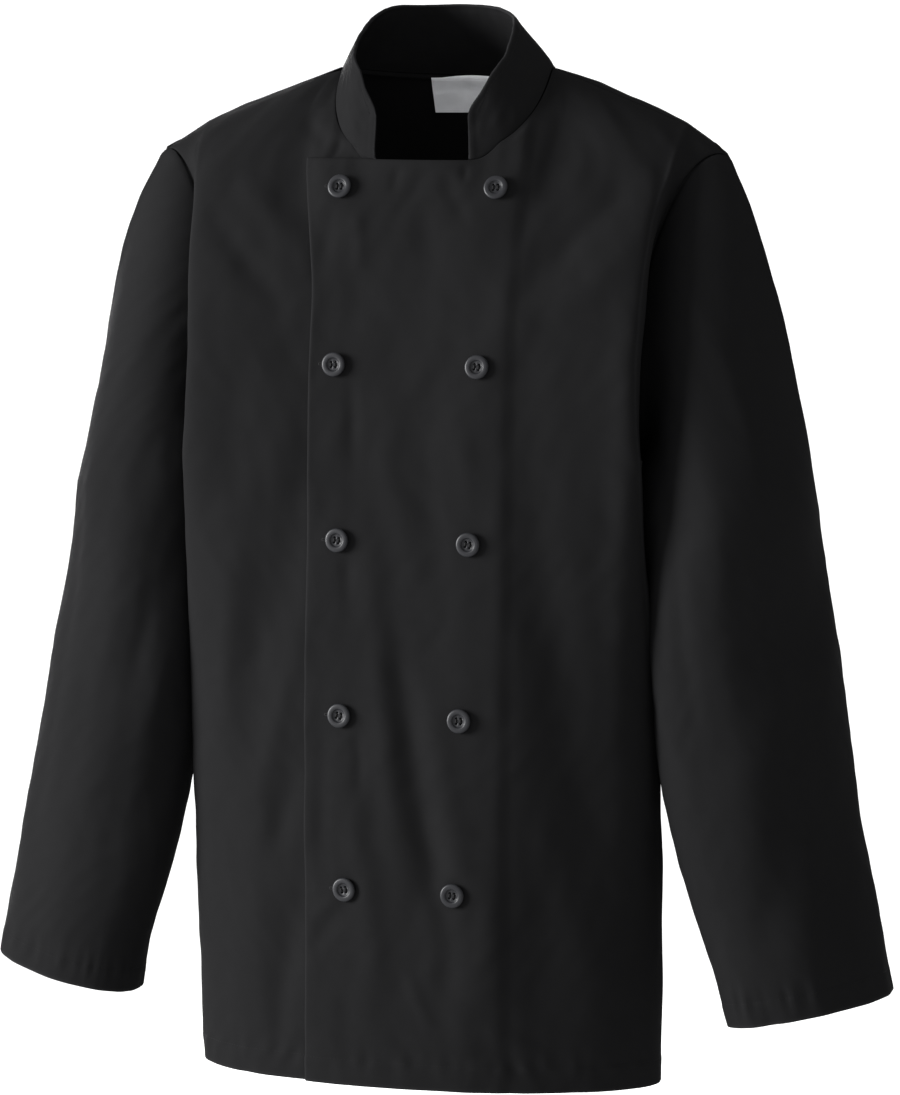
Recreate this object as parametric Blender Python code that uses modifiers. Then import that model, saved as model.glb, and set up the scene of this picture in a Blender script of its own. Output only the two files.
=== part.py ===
"""A double-breasted chef jacket, filled out as if worn, with no wearer.

Metres, +Z up. The jacket faces -Y and its wearer's left is +X. The origin is the middle of the neck
opening, level with the two points where the shoulder seams meet the collar.

The body is cut from two smooth surfaces, a front and a back. Each is a set of level sections up to
the height SHOULDER_START, and above it arches over to the neckline and the shoulder seam. A place
on a surface is given by two numbers:
  across  0 at the centre line, 1 at the fold in front of (or behind) the arm, 2 at the side seam;
          minus on the wearer's right
  level   the height, up to SHOULDER_START, and from there to 0 a share of the way to the top edge
"""

from collections import namedtuple
from functools import lru_cache
from math import cos, pi, sin, sqrt

import bpy
import bmesh
import numpy as np
from mathutils import Matrix, Vector

# ---------------------------------------------------------------- driving sizes
CLOTH = 0.0015
COLLAR_CLOTH = 0.0020
LABEL_CLOTH = 0.0010
SEAM_GAP = 0.0004
HEM_Z = -0.748
ARMPIT_Z = -0.290
SHOULDER_START = -0.170

NECK_HALF = 0.082
NECK_FRONT = 0.0675
NECK_BACK = 0.071
NECK_DROP_FRONT = 0.067
NECK_DROP_BACK = 0.008
NECK_POWER = 0.80  # 1 gives an ellipse, less a squarer loop

SHOULDER_TIP = Vector((0.2190, -0.014, -0.0630))
SHOULDER_FOLD = Vector((0.186, -0.007, -0.0410))
NECK_POINT_ACROSS = 0.48  # where the shoulder seam leaves the neckline

OVERLAP_HALF = 0.075  # from the centre line to each front's edge
OVERLAP_TOP_Z = -0.0665
LAYER_STEP = CLOTH + 0.0011

# ---------------------------------------------------------------- body sections
# Level sections from the hem up. Depths are measured forward from the neck's own axis.
#   front       depth at the centre front
#   flat        how far the front stays flat before it turns, as a share of fold_half
#   fold_half   half width at the fold in front of the arm, and fold_depth, its depth
#   bulge       how far in front of fold_depth the cloth reaches before it turns back
#   side_half   half width at the side seam, and side_depth, its depth
#   back        depth at the centre back
BodySection = namedtuple(
    "BodySection",
    "z front flat fold_half fold_depth bulge side_half side_depth back",
)
BODY_SECTIONS = [
    BodySection(-0.748, 0.120, 0.58, 0.178, 0.042, 0.040, 0.158, -0.004, -0.092),
    BodySection(-0.640, 0.120, 0.58, 0.181, 0.048, 0.038, 0.157, -0.004, -0.087),
    BodySection(-0.540, 0.120, 0.60, 0.181, 0.056, 0.034, 0.155, -0.004, -0.081),
    BodySection(-0.440, 0.115, 0.66, 0.180, 0.068, 0.026, 0.151, -0.002, -0.079),
    BodySection(-0.350, 0.107, 0.74, 0.178, 0.084, 0.018, 0.149, 0.000, -0.084),
    BodySection(-0.290, 0.104, 0.80, 0.177, 0.093, 0.012, 0.150, 0.000, -0.089),
    BodySection(-0.230, 0.101, 0.84, 0.177, 0.096, 0.009, 0.154, 0.000, -0.094),
    BodySection(-0.170, 0.092, 0.84, 0.179, 0.088, 0.008, 0.158, 0.000, -0.095),
]

# The way each surface arrives at its top edge, by place across.
#   heading  degrees that it comes in from the side, 0 straight back (or forward)
#   slope    how steeply it climbs there, as a tangent
#   reach    how long the curve holds that direction
TopEdge = namedtuple("TopEdge", "across heading slope reach")
FRONT_TOP = [
    TopEdge(0.00, 0, 6.00, 0.040),
    TopEdge(0.11, 10, 3.20, 0.040),
    TopEdge(0.27, 32, 1.25, 0.042),
    TopEdge(0.40, 50, 0.66, 0.044),
    TopEdge(0.48, 50, 0.46, 0.046),
    TopEdge(0.60, 32, 0.42, 0.046),
    TopEdge(0.78, 10, 0.34, 0.044),
    TopEdge(1.00, 0, 0.30, 0.042),
    TopEdge(1.50, -4, 0.30, 0.036),
    TopEdge(2.00, -8, 0.34, 0.030),
]
BACK_TOP = [
    TopEdge(0.00, 0, 2.20, 0.050),
    TopEdge(0.11, 8, 1.90, 0.050),
    TopEdge(0.27, 24, 1.00, 0.050),
    TopEdge(0.40, 40, 0.40, 0.052),
    TopEdge(0.48, 42, 0.08, 0.054),
    TopEdge(0.60, 28, -0.10, 0.056),
    TopEdge(0.78, 10, -0.22, 0.056),
    TopEdge(1.00, 0, -0.26, 0.054),
    TopEdge(1.50, -4, -0.28, 0.046),
    TopEdge(2.00, -8, -0.32, 0.034),
]
ARCH_START_REACH = 0.055
FRONT_ARMHOLE_SCOOP = 0.45  # how far across the armhole is cut in from the side line
BACK_ARMHOLE_SCOOP = 0.70
BACK_FOLD_SHARE = 0.70  # share of the back's width, centre to side seam, at across 1

# ---------------------------------------------------------------- sleeve sections
# Level-ish sections down the wearer's left sleeve, square to its run.
#   x, depth, z   the middle
#   broad, slim   half sizes of the oval
#   turn          degrees that the broad way is turned from straight out to straight back
#   tip           how much higher the front of the section is, for each metre forward
SleeveSection = namedtuple("SleeveSection", "x depth z broad slim turn tip")
SLEEVE_SECTIONS = [
    SleeveSection(0.2225, 0.014, -0.330, 0.0740, 0.0650, 88, 0.00),
    SleeveSection(0.2420, 0.034, -0.430, 0.0730, 0.0515, 46, 0.02),
    SleeveSection(0.2600, 0.042, -0.560, 0.0705, 0.0500, 32, 0.04),
    SleeveSection(0.2815, 0.039, -0.644, 0.0655, 0.0470, 30, 0.05),
    SleeveSection(0.2905, 0.036, -0.687, 0.0635, 0.0460, 28, 0.05),
]

# ---------------------------------------------------------------- collar
# The standing collar, from the centre back (along 0) to its front end (along 1).
CollarSection = namedtuple("CollarSection", "along height lean")
COLLAR_SECTIONS = [
    CollarSection(0.00, 0.0560, 15),
    CollarSection(0.25, 0.0510, 26),
    CollarSection(0.48, 0.0440, 31),
    CollarSection(0.72, 0.0450, 23),
    CollarSection(0.88, 0.0470, 12),
    CollarSection(1.00, 0.0480, 9),
]
COLLAR_CORNER = 0.022
COLLAR_ROWS = 5

# ---------------------------------------------------------------- buttons and label
BUTTON_R = 0.009
BUTTON_THICK = 0.0034
BUTTON_STAND = 0.0016
BUTTON_HOLE_R = 0.0009
BUTTON_HOLE_AT = 0.0017
SHANK_R = 0.0022
FIRST_BUTTON_Z = -0.088
BUTTON_PITCH = 0.1285
BUTTON_ROWS = 5
TOP_SPREAD = 0.060  # half the space between the two columns, at the top row
ROW_NARROWS = 0.0046  # and how much less it is at each row below

LABEL_HALF = 0.032
LABEL_TALL = 0.026

COLOURS = {
    "cloth": ((0.012, 0.012, 0.013), 0.85),
    "button": ((0.045, 0.045, 0.05), 0.35),
    "label": ((0.75, 0.76, 0.78), 0.6),
}


# ================================================================ small helpers
def clear_scene():
    for obj in list(bpy.data.objects):
        bpy.data.objects.remove(obj, do_unlink=True)


def between(rows, at):
    """Every value of a table of named rows, read at a place between its rows by a smooth curve."""
    keys = [row[0] for row in rows]
    at = min(max(at, keys[0]), keys[-1])
    i = min(max(sum(key <= at for key in keys) - 1, 0), len(rows) - 2)
    below, above = np.array(rows[i], float), np.array(rows[i + 1], float)
    before = np.array(rows[max(i - 1, 0)], float)
    after = np.array(rows[min(i + 2, len(rows) - 1)], float)
    span = above[0] - below[0]
    share = (at - below[0]) / span
    slope_in = (above - before) / (above[0] - before[0]) * span
    slope_out = (after - below) / (after[0] - below[0]) * span
    value = (
        (2 * share**3 - 3 * share**2 + 1) * below
        + (share**3 - 2 * share**2 + share) * slope_in
        + (3 * share**2 - 2 * share**3) * above
        + (share**3 - share**2) * slope_out
    )
    return type(rows[0])(*value)


def bezier(a, b, c, d, t):
    return a * (1 - t) ** 3 + b * (3 * t * (1 - t) ** 2) + c * (3 * t**2 * (1 - t)) + d * t**3


def bezier_line(a, b, c, d, steps=48):
    a, b, c, d = (np.array(p, float) for p in (a, b, c, d))
    return np.array([bezier(a, b, c, d, i / steps) for i in range(steps + 1)])


def along_line(line, share):
    """The point at a share of the length of a line of points."""
    lengths = np.concatenate([[0], np.cumsum(np.linalg.norm(np.diff(line, axis=0), axis=1))])
    return np.array([np.interp(share * lengths[-1], lengths, line[:, k]) for k in range(line.shape[1])])


def mirrored(point):
    return Vector((-point.x, point.y, point.z))


# ================================================================ the body's surfaces
@lru_cache(maxsize=None)
def front_lines(z):
    """The front's level section, as two lines of (x, y): centre to fold, and fold to side seam."""
    s = between(BODY_SECTIONS, z)
    to_fold = bezier_line(
        (0, -s.front),
        (s.flat * s.fold_half, -s.front),
        (s.fold_half, -s.fold_depth - s.bulge),
        (s.fold_half, -s.fold_depth),
    )
    hollow = 0.5 * s.bulge
    to_side = bezier_line(
        (s.fold_half, -s.fold_depth),
        (s.fold_half, -s.fold_depth + hollow),
        (s.side_half - 0.001, -s.side_depth - 0.6 * (s.fold_depth - s.side_depth)),
        (s.side_half, -s.side_depth),
    )
    return to_fold, to_side


@lru_cache(maxsize=None)
def back_line(z):
    """The back's level section from the centre back to the side seam."""
    s = between(BODY_SECTIONS, z)
    return bezier_line(
        (0, -s.back),
        (0.66 * s.side_half, -s.back),
        (s.side_half - 0.004, -s.side_depth - 0.68 * (s.back - s.side_depth)),
        (s.side_half, -s.side_depth),
    )


def front_section(across, z):
    to_fold, to_side = front_lines(round(z, 6))
    x, y = along_line(to_fold, across) if across <= 1 else along_line(to_side, across - 1)
    return Vector((x, y, z))


def back_section(across, z):
    share = across * BACK_FOLD_SHARE
    if across > 1:
        share = BACK_FOLD_SHARE + (across - 1) * (1 - BACK_FOLD_SHARE)
    x, y = along_line(back_line(round(z, 6)), share)
    return Vector((x, y, z))


def neck_point(turn, front):
    """The neckline: turn 0 at the shoulder seam, 1 at the centre line."""
    wide = max(cos(turn * pi / 2), 0) ** NECK_POWER
    deep = max(sin(turn * pi / 2), 0) ** NECK_POWER
    if front:
        return Vector((NECK_HALF * wide, -NECK_FRONT * deep**0.94, -NECK_DROP_FRONT * deep))
    round_x, round_y = NECK_HALF * cos(turn * pi / 2), NECK_BACK * sin(turn * pi / 2)
    return Vector((round_x, round_y, -NECK_DROP_BACK * sin(turn * pi / 2)))


def top_point(across, front):
    """The top edge of a surface: the neckline, then the shoulder seam out to its tip."""
    neck = neck_point(0, front)
    if across <= NECK_POINT_ACROSS:
        return neck_point(1 - across / NECK_POINT_ACROSS, front)
    if across <= 1:
        return neck.lerp(SHOULDER_FOLD, (across - NECK_POINT_ACROSS) / (1 - NECK_POINT_ACROSS))
    return SHOULDER_FOLD.lerp(SHOULDER_TIP, across - 1)


def surface(across, level, front):
    """A point of the front or the back surface, on the wearer's left where across is plus."""
    if across < 0:
        return mirrored(surface(-across, level, front))
    section = front_section if front else back_section
    if level <= SHOULDER_START:
        return section(across, level)
    start = section(across, SHOULDER_START)
    climb = start - section(across, SHOULDER_START - 0.01)
    edge = between(FRONT_TOP if front else BACK_TOP, across)
    top = top_point(across, front)
    heading = edge.heading * pi / 180
    arrive = Vector((-sin(heading), cos(heading) * (1 if front else -1), edge.slope)).normalized()
    return bezier(
        start,
        start + climb * (ARCH_START_REACH / 0.01),
        top - arrive * edge.reach,
        top,
        1 - level / SHOULDER_START,
    )


def outward(across, level, front):
    """The unit normal of a body surface, out from the wearer."""
    step_across = surface(across + 0.02, level, front) - surface(across - 0.02, level, front)
    low, high = level - 0.002, min(level + 0.002, 0)
    step_up = surface(across, high, front) - surface(across, low, front)
    normal = step_across.cross(step_up).normalized()
    return normal if front else -normal


def armhole_edge(level, front):
    """How far across a body piece reaches: to the side seam, or above the armpit to the armhole."""
    if level <= ARMPIT_Z:
        return 2
    up = 1 - level / ARMPIT_Z
    scoop = FRONT_ARMHOLE_SCOOP if front else BACK_ARMHOLE_SCOOP
    return 2 - scoop * (1 - abs(2 * up - 1) ** 3.2) ** 0.6


# ================================================================ meshes
def grid_object(name, rows, material, collection, thickness, flip=False, round_it=False):
    """An open sheet through rows of points, made a wall towards the inside."""
    mesh = bpy.data.meshes.new(name)
    build = bmesh.new()
    grid = [[build.verts.new(point) for point in row] for row in rows]
    columns = len(rows[0])
    for low, high in zip(grid, grid[1:]):
        for i in range(columns if round_it else columns - 1):
            j = (i + 1) % columns
            corners = [low[i], low[j], high[j], high[i]]
            build.faces.new(corners[::-1] if flip else corners)
    build.to_mesh(mesh)
    build.free()
    mesh.shade_smooth()
    mesh.materials.append(material)
    obj = bpy.data.objects.new(name, mesh)
    collection.objects.link(obj)
    wall = obj.modifiers.new("wall", "SOLIDIFY")
    wall.thickness = thickness
    wall.offset = -1
    wall.use_even_offset = True
    wall.use_rim = True
    return obj


def make_material(name):
    colour, roughness = COLOURS[name]
    material = bpy.data.materials.new(name)
    material.use_nodes = True
    shader = material.node_tree.nodes["Principled BSDF"]
    shader.inputs["Base Color"].default_value = (*colour, 1)
    shader.inputs["Roughness"].default_value = roughness
    shader.inputs["Metallic"].default_value = 0
    return material


# ================================================================ body pieces
HEM_TO_ARMPIT = [HEM_Z + (ARMPIT_Z - HEM_Z) * i / 7 for i in range(8)]
ARMPIT_TO_ARCH = [-0.287, -0.274, -0.252, -0.212, -0.170]
ARCH = [SHOULDER_START * (1 - share) for share in (0.14, 0.28, 0.42, 0.55, 0.67, 0.78, 0.88, 0.95)]
BODY_LEVELS = HEM_TO_ARMPIT + ARMPIT_TO_ARCH + ARCH + [0]

COLLAR_END = 0.114  # the place across where the collar ends
FRONT_NECK_PLACES = [COLLAR_END, 0.20, 0.29, 0.36, 0.43, 0.48]
BACK_NECK_PLACES = [0.10, 0.20, 0.30, 0.40, 0.48]
FRONT_PLACES = [0, 0.06] + FRONT_NECK_PLACES + [0.60, 0.72, 0.83, 0.92, 1.0, 1.12, 1.4, 2.0]
BACK_PLACES = BACK_NECK_PLACES + [0.62, 0.78, 0.92, 1.08, 1.3, 1.6, 2.0]


def squeezed(place, end):
    """A place between the fold and the side line, moved in so that the last one is at the armhole."""
    return place if place <= 1 else 1 + (place - 1) * (end - 1)


def seam_level(across, front):
    """The level of a piece's top row, which stops short enough for two walls to meet on a seam."""
    edge = between(FRONT_TOP if front else BACK_TOP, abs(across))
    pull = SEAM_GAP
    if abs(across) >= NECK_POINT_ACROSS:
        pull += 1.8 * CLOTH * max(edge.slope, 0)
    return SHOULDER_START * pull / (3 * edge.reach)


def overlap_across(level):
    """The place across of a front's edge, which runs straight down OVERLAP_HALF from the centre."""
    places = np.linspace(0, 0.9, 60)
    widths = [surface(place, level, True).x for place in places]
    return float(np.interp(OVERLAP_HALF, widths, places))


def front_top_level(across):
    """Where a front stops on the other side of the centre: at its straight top edge."""
    levels = np.linspace(SHOULDER_START, 0, 60)
    heights = [surface(across, level, True).z for level in levels]
    return float(np.interp(OVERLAP_TOP_Z, heights, levels))


def tucked(across):
    """How far the under front lies inside the outer one: a whole layer where they overlap."""
    fade_from, fade_to = 0.44, 0.58
    share = min(max((-across - fade_from) / (fade_to - fade_from), 0), 1)
    return LAYER_STEP * (1 - share * share * (3 - 2 * share))


def front_point(across, level, under):
    """A point of the wearer's left front, or of the right one, which is its mirror tucked under."""
    point = surface(across, level, True)
    if not under:
        return point
    point = mirrored(point)
    return point - outward(-across, level, True) * tucked(-across)


def front_rows(under):
    rows = []
    for level in BODY_LEVELS:
        edge = overlap_across(min(level, SHOULDER_START))
        end = armhole_edge(level, True) - SEAM_GAP / 0.10
        beyond = [-edge, -edge * 0.75, -edge * 0.5, -edge * 0.25]
        row = []
        for place in beyond + FRONT_PLACES:
            place = squeezed(place, end)
            height = level
            if place < 0 and level > SHOULDER_START:
                share = 1 - level / SHOULDER_START
                height = SHOULDER_START + share * (front_top_level(-place) - SHOULDER_START)
            elif level == 0:
                height = seam_level(place, True)
            row.append(front_point(place, height, under))
        rows.append(row)
    return rows


def back_rows():
    rows = []
    for level in BODY_LEVELS:
        end = armhole_edge(level, False) - SEAM_GAP / 0.04
        places = [squeezed(place, end) for place in BACK_PLACES]
        left = [surface(place, level or seam_level(place, False), False) for place in places]
        middle = surface(0, level or seam_level(0, False), False)
        rows.append([mirrored(point) for point in reversed(left)] + [middle] + left)
    return rows


# ================================================================ sleeves
SLEEVE_SIDES = 24
CAP_STEPS = 6
CAP_FULLNESS = 0.33  # how long the head holds its first direction, as a share of its run


def armhole_loop():
    """The left armhole, from the shoulder tip down the front, through the armpit and up the back."""
    loop = []
    for front in (True, False):
        levels = np.linspace(0, ARMPIT_Z, 90)
        edge = np.array([surface(armhole_edge(level, front), level, front) for level in levels])
        half = [along_line(edge, i / (SLEEVE_SIDES // 2)) for i in range(SLEEVE_SIDES // 2 + 1)]
        loop += half[:-1] if front else half[:0:-1]
    return [Vector(point) for point in loop]


def sleeve_run(z):
    """The direction in which the sleeve runs at a height."""
    keyed = sleeve_keyed()
    low, high = between(keyed, z - 0.005), between(keyed, z + 0.005)
    return Vector((low.x - high.x, high.depth - low.depth, low.z - high.z)).normalized()


def sleeve_keyed():
    """The sleeve's table with its height first and the rows from the cuff up, for between()."""
    keyed = namedtuple("Keyed", "z x depth broad slim turn tip")
    rows = [keyed(s.z, s.x, s.depth, s.broad, s.slim, s.turn, s.tip) for s in SLEEVE_SECTIONS]
    return rows[::-1]


def sleeve_section(z):
    """One closed section of the left sleeve, its first point outermost and the next ones to the front."""
    s = between(sleeve_keyed(), z)
    middle = Vector((s.x, -s.depth, s.z))
    run = sleeve_run(z)
    out = (Vector((1, 0, 0)) - run * run.x).normalized()
    ahead = out.cross(run).normalized()
    if ahead.y > 0:
        ahead = -ahead
    turn = s.turn * pi / 180
    points = []
    for i in range(SLEEVE_SIDES):
        angle = 2 * pi * i / SLEEVE_SIDES
        broadly = s.broad * cos(angle + turn)
        slimly = s.slim * sin(angle + turn)
        point = middle + out * (broadly * cos(turn) + slimly * sin(turn))
        point += ahead * (slimly * cos(turn) - broadly * sin(turn))
        point.z += s.tip * (middle.y - point.y)
        points.append(point)
    return points


def sleeve_rows():
    loop = armhole_loop()
    middle = sum(loop, Vector()) / len(loop)
    first = sleeve_section(SLEEVE_SECTIONS[0].z)
    down = sleeve_run(SLEEVE_SECTIONS[0].z)
    clear_of_seam = Vector((4, 0, -1.5)) * SEAM_GAP
    rows = []
    for step in range(CAP_STEPS):
        share = (step / CAP_STEPS) ** 1.15
        row = []
        for i, (start, end) in enumerate(zip(loop, first)):
            top = (1 + cos(2 * pi * i / SLEEVE_SIDES)) / 2
            fore = max(sin(2 * pi * i / SLEEVE_SIDES), 0)
            aft = max(-sin(2 * pi * i / SLEEVE_SIDES), 0)
            leave = Vector((0.86 - 0.38 * top - 0.25 * aft, -0.40 * fore - 0.26 * top, -0.30 - 0.48 * top))
            leave.normalize()
            span = (end - start).length * CAP_FULLNESS
            point = bezier(start, start + leave * span, end - down * span, end, share)
            row.append(point + clear_of_seam * (1 - share))
        rows.append(row)
    heights = np.linspace(SLEEVE_SECTIONS[0].z, SLEEVE_SECTIONS[-1].z, 9)
    rows += [sleeve_section(z) for z in heights]
    return rows


# ================================================================ collar and label
def collar_rows():
    feet = [top_point(place, False) for place in [0] + BACK_NECK_PLACES]
    feet += [top_point(place, True) for place in FRONT_NECK_PLACES[-2::-1]]
    seam = np.array(feet)
    lengths = np.concatenate([[0], np.cumsum(np.linalg.norm(np.diff(seam, axis=0), axis=1))])
    rows = [[] for _ in range(COLLAR_ROWS)]
    for i, foot in enumerate(feet):
        s = between(COLLAR_SECTIONS, lengths[i] / lengths[-1])
        ahead = feet[min(i + 1, len(feet) - 1)] - (feet[i - 1] if i else mirrored(feet[1]))
        inward = Vector((ahead.y, -ahead.x, 0)).normalized()
        lean = s.lean * pi / 180
        rise = Vector((0, 0, cos(lean))) + inward * sin(lean)
        height = s.height
        to_end = lengths[-1] - lengths[i]
        if to_end < COLLAR_CORNER:
            off = 1 - to_end / COLLAR_CORNER
            height -= COLLAR_CORNER * (1 - sqrt(1 - off * off))
        for k, row in enumerate(rows):
            row.append(foot + rise * (2 * SEAM_GAP + height * k / (COLLAR_ROWS - 1)))
    return [[mirrored(point) for point in reversed(row[1:])] + row for row in rows]


def label_rows():
    """The neck label, on the inside of the back below the collar seam."""
    rows = []
    for k in range(4):
        drop = 0.004 + LABEL_TALL * k / 3
        row = []
        for i in range(9):
            x = LABEL_HALF * (i / 4 - 1)
            level = np.linspace(SHOULDER_START, 0, 80)
            across = abs(x) / 0.18
            heights = [surface(across, value, False).z for value in level]
            at = float(np.interp(-NECK_DROP_BACK - drop, heights, level))
            point = surface(across, at, False)
            point -= outward(across, at, False) * (CLOTH + 1.5 * SEAM_GAP + LABEL_CLOTH)
            row.append(Vector((x, point.y, point.z)))
        rows.append(row)
    return rows


# ================================================================ buttons
def button_mesh(collection, cutters):
    """A four-hole button with a raised rim and a thread shank behind, its face towards +Z."""
    r, thick = BUTTON_R, BUTTON_THICK
    profile = [
        (0.0, thick * 0.62),
        (r * 0.52, thick * 0.62),
        (r * 0.66, thick),
        (r * 0.88, thick),
        (r, thick * 0.6),
        (r * 0.93, thick * 0.15),
        (SHANK_R, 0),
        (SHANK_R, -BUTTON_STAND + SEAM_GAP),
        (0.0, -BUTTON_STAND + SEAM_GAP),
    ]
    mesh = bpy.data.meshes.new("button_blank")
    mesh.from_pydata([(x, 0, z) for x, z in profile], [(i, i + 1) for i in range(8)], [])
    blank = bpy.data.objects.new("button_blank", mesh)
    collection.objects.link(blank)
    turn = blank.modifiers.new("turn", "SCREW")
    turn.steps = turn.render_steps = 18
    turn.use_merge_vertices = True
    turn.merge_threshold = 0.00005
    turn.use_smooth_shade = True
    for i in range(4):
        angle = pi / 4 + i * pi / 2
        bpy.ops.mesh.primitive_cylinder_add(
            vertices=8, radius=BUTTON_HOLE_R, depth=BUTTON_THICK * 1.2
        )
        cutter = bpy.context.object
        cutter.name = f"hole_cutter_{i}"
        for held in list(cutter.users_collection):
            held.objects.unlink(cutter)
        cutters.objects.link(cutter)
        cutter.location = (
            BUTTON_HOLE_AT * sqrt(2) * cos(angle),
            BUTTON_HOLE_AT * sqrt(2) * sin(angle),
            BUTTON_THICK * 0.95,
        )
        cutter.hide_render = True
        cutter.display_type = "WIRE"
        cut = blank.modifiers.new(f"hole_{i}", "BOOLEAN")
        cut.operation = "DIFFERENCE"
        cut.object = cutter
    bpy.context.view_layer.update()
    graph = bpy.context.evaluated_depsgraph_get()
    made = bpy.data.meshes.new_from_object(blank.evaluated_get(graph))
    made.name = "button"
    bpy.data.objects.remove(blank)
    return made


def place_buttons(collection, cutters, material):
    mesh = button_mesh(collection, cutters)
    mesh.materials.clear()
    mesh.materials.append(material)
    for row in range(BUTTON_ROWS):
        z = FIRST_BUTTON_Z - BUTTON_PITCH * row
        x = TOP_SPREAD - ROW_NARROWS * row
        for side, name in ((1, "left"), (-1, "right")):
            across, level = button_place(x, z)
            point = surface(side * across, level, True)
            normal = outward(side * across, level, True)
            sideways = Vector((0, 0, 1)).cross(normal).normalized()
            upward = normal.cross(sideways)
            turn = Matrix((sideways, upward, normal)).transposed().to_4x4()
            button = bpy.data.objects.new(f"button_{name}_{row + 1}", mesh)
            collection.objects.link(button)
            button.matrix_world = Matrix.Translation(point + normal * BUTTON_STAND) @ turn


def button_place(x, z):
    """The (across, level) of the front's point with this x and z."""
    across, level = x / 0.18, z
    for _ in range(12):
        if z > SHOULDER_START:
            levels = np.linspace(SHOULDER_START, 0, 60)
            heights = [surface(across, value, True).z for value in levels]
            level = float(np.interp(z, heights, levels))
        across *= x / surface(across, level, True).x
    return across, level


# ================================================================ the jacket
def main():
    clear_scene()
    jacket = bpy.data.collections.new("chef_jacket")
    cutters = bpy.data.collections.new("cutters")
    for collection in (jacket, cutters):
        bpy.context.scene.collection.children.link(collection)
    cloth, button, label = (make_material(name) for name in COLOURS)

    grid_object("front_left", front_rows(under=False), cloth, jacket, CLOTH)
    grid_object("front_right", front_rows(under=True), cloth, jacket, CLOTH, flip=True)
    grid_object("back", back_rows(), cloth, jacket, CLOTH, flip=True)
    rows = sleeve_rows()
    grid_object("sleeve_left", rows, cloth, jacket, CLOTH, round_it=True)
    rows = [[mirrored(point) for point in row] for row in rows]
    grid_object("sleeve_right", rows, cloth, jacket, CLOTH, flip=True, round_it=True)
    grid_object("collar", collar_rows(), cloth, jacket, COLLAR_CLOTH, flip=True)
    grid_object("neck_label", label_rows(), label, jacket, LABEL_CLOTH)
    place_buttons(jacket, cutters, button)


main()
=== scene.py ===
# Black twill chef jacket, double-breasted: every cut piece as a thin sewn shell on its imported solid.
from math import cos, pi, radians, sin, sqrt

import bmesh
import bpy
import numpy as np
from mathutils import Matrix, Vector


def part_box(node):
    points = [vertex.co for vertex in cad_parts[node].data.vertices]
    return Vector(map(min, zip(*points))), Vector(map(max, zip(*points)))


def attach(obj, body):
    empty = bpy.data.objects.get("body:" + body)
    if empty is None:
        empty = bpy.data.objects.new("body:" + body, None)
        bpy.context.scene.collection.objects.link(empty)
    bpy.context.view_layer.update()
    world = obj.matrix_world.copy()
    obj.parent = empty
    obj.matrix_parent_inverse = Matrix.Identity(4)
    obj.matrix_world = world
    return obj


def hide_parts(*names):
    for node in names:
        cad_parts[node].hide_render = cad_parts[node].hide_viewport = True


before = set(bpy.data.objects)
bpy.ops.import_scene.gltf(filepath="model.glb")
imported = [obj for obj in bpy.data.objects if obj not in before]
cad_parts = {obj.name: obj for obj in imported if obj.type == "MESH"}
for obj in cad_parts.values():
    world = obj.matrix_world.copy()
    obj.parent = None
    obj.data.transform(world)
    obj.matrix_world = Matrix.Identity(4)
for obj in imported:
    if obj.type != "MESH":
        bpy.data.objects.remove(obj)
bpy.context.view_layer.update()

mm = 0.001
scene = bpy.context.scene
scene.view_settings.view_transform = "Standard"


def bezier(a, b, c, d, t):
    return a * (1 - t) ** 3 + b * (3 * t * (1 - t) ** 2) + c * (3 * t**2 * (1 - t)) + d * t**3


def readTable(rows, at):  # a smooth reading between the rows of a table, keyed by its first column
    rows = np.array(rows, float)
    key = rows[:, 0]
    at = np.clip(np.asarray(at, float), key[0], key[-1])
    low = np.clip(np.searchsorted(key, at, side="right") - 1, 0, len(key) - 2)
    below, above = rows[low], rows[low + 1]
    before, after = rows[np.maximum(low - 1, 0)], rows[np.minimum(low + 2, len(key) - 1)]
    span = above[..., :1] - below[..., :1]
    t = (at[..., None] - below[..., :1]) / span
    slopeIn = (above - before) / (above[..., :1] - before[..., :1]) * span
    slopeOut = (after - below) / (after[..., :1] - below[..., :1]) * span
    return (
        (2 * t**3 - 3 * t**2 + 1) * below
        + (t**3 - 2 * t**2 + t) * slopeIn
        + (3 * t**2 - 2 * t**3) * above
        + (t**3 - t**2) * slopeOut
    )


def runLengths(points):
    steps = np.linalg.norm(np.diff(points, axis=0), axis=-1)
    return np.concatenate([np.zeros((1,) + steps.shape[1:]), np.cumsum(steps, axis=0)])


def readAlong(length, values, at):
    return np.stack([np.interp(at, length, values[:, k]) for k in range(values.shape[1])], -1)


def rowRuns(grid):  # how far along its row each point is
    return runLengths(np.swapaxes(grid, 0, 1)).T


def alongLine(line, share):
    length = runLengths(line)
    return readAlong(length, line, np.clip(share, 0, 1) * length[-1])


def unit(v):
    return v / (np.linalg.norm(v, axis=-1, keepdims=True) + 1e-12)


def easeStep(value, start, end):
    t = np.clip((value - start) / (end - start), 0, 1)
    return t * t * (3 - 2 * t)


def bump(distance, width):
    return np.exp(-((distance / width) ** 2))


def edgeSpread(total, count, startSteps, endSteps):  # close together near both edges, even between
    inner = np.linspace(startSteps[-1], total - endSteps[-1], count)
    return np.concatenate([startSteps[:-1], inner, total - np.array(endSteps[-2::-1])])


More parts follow.
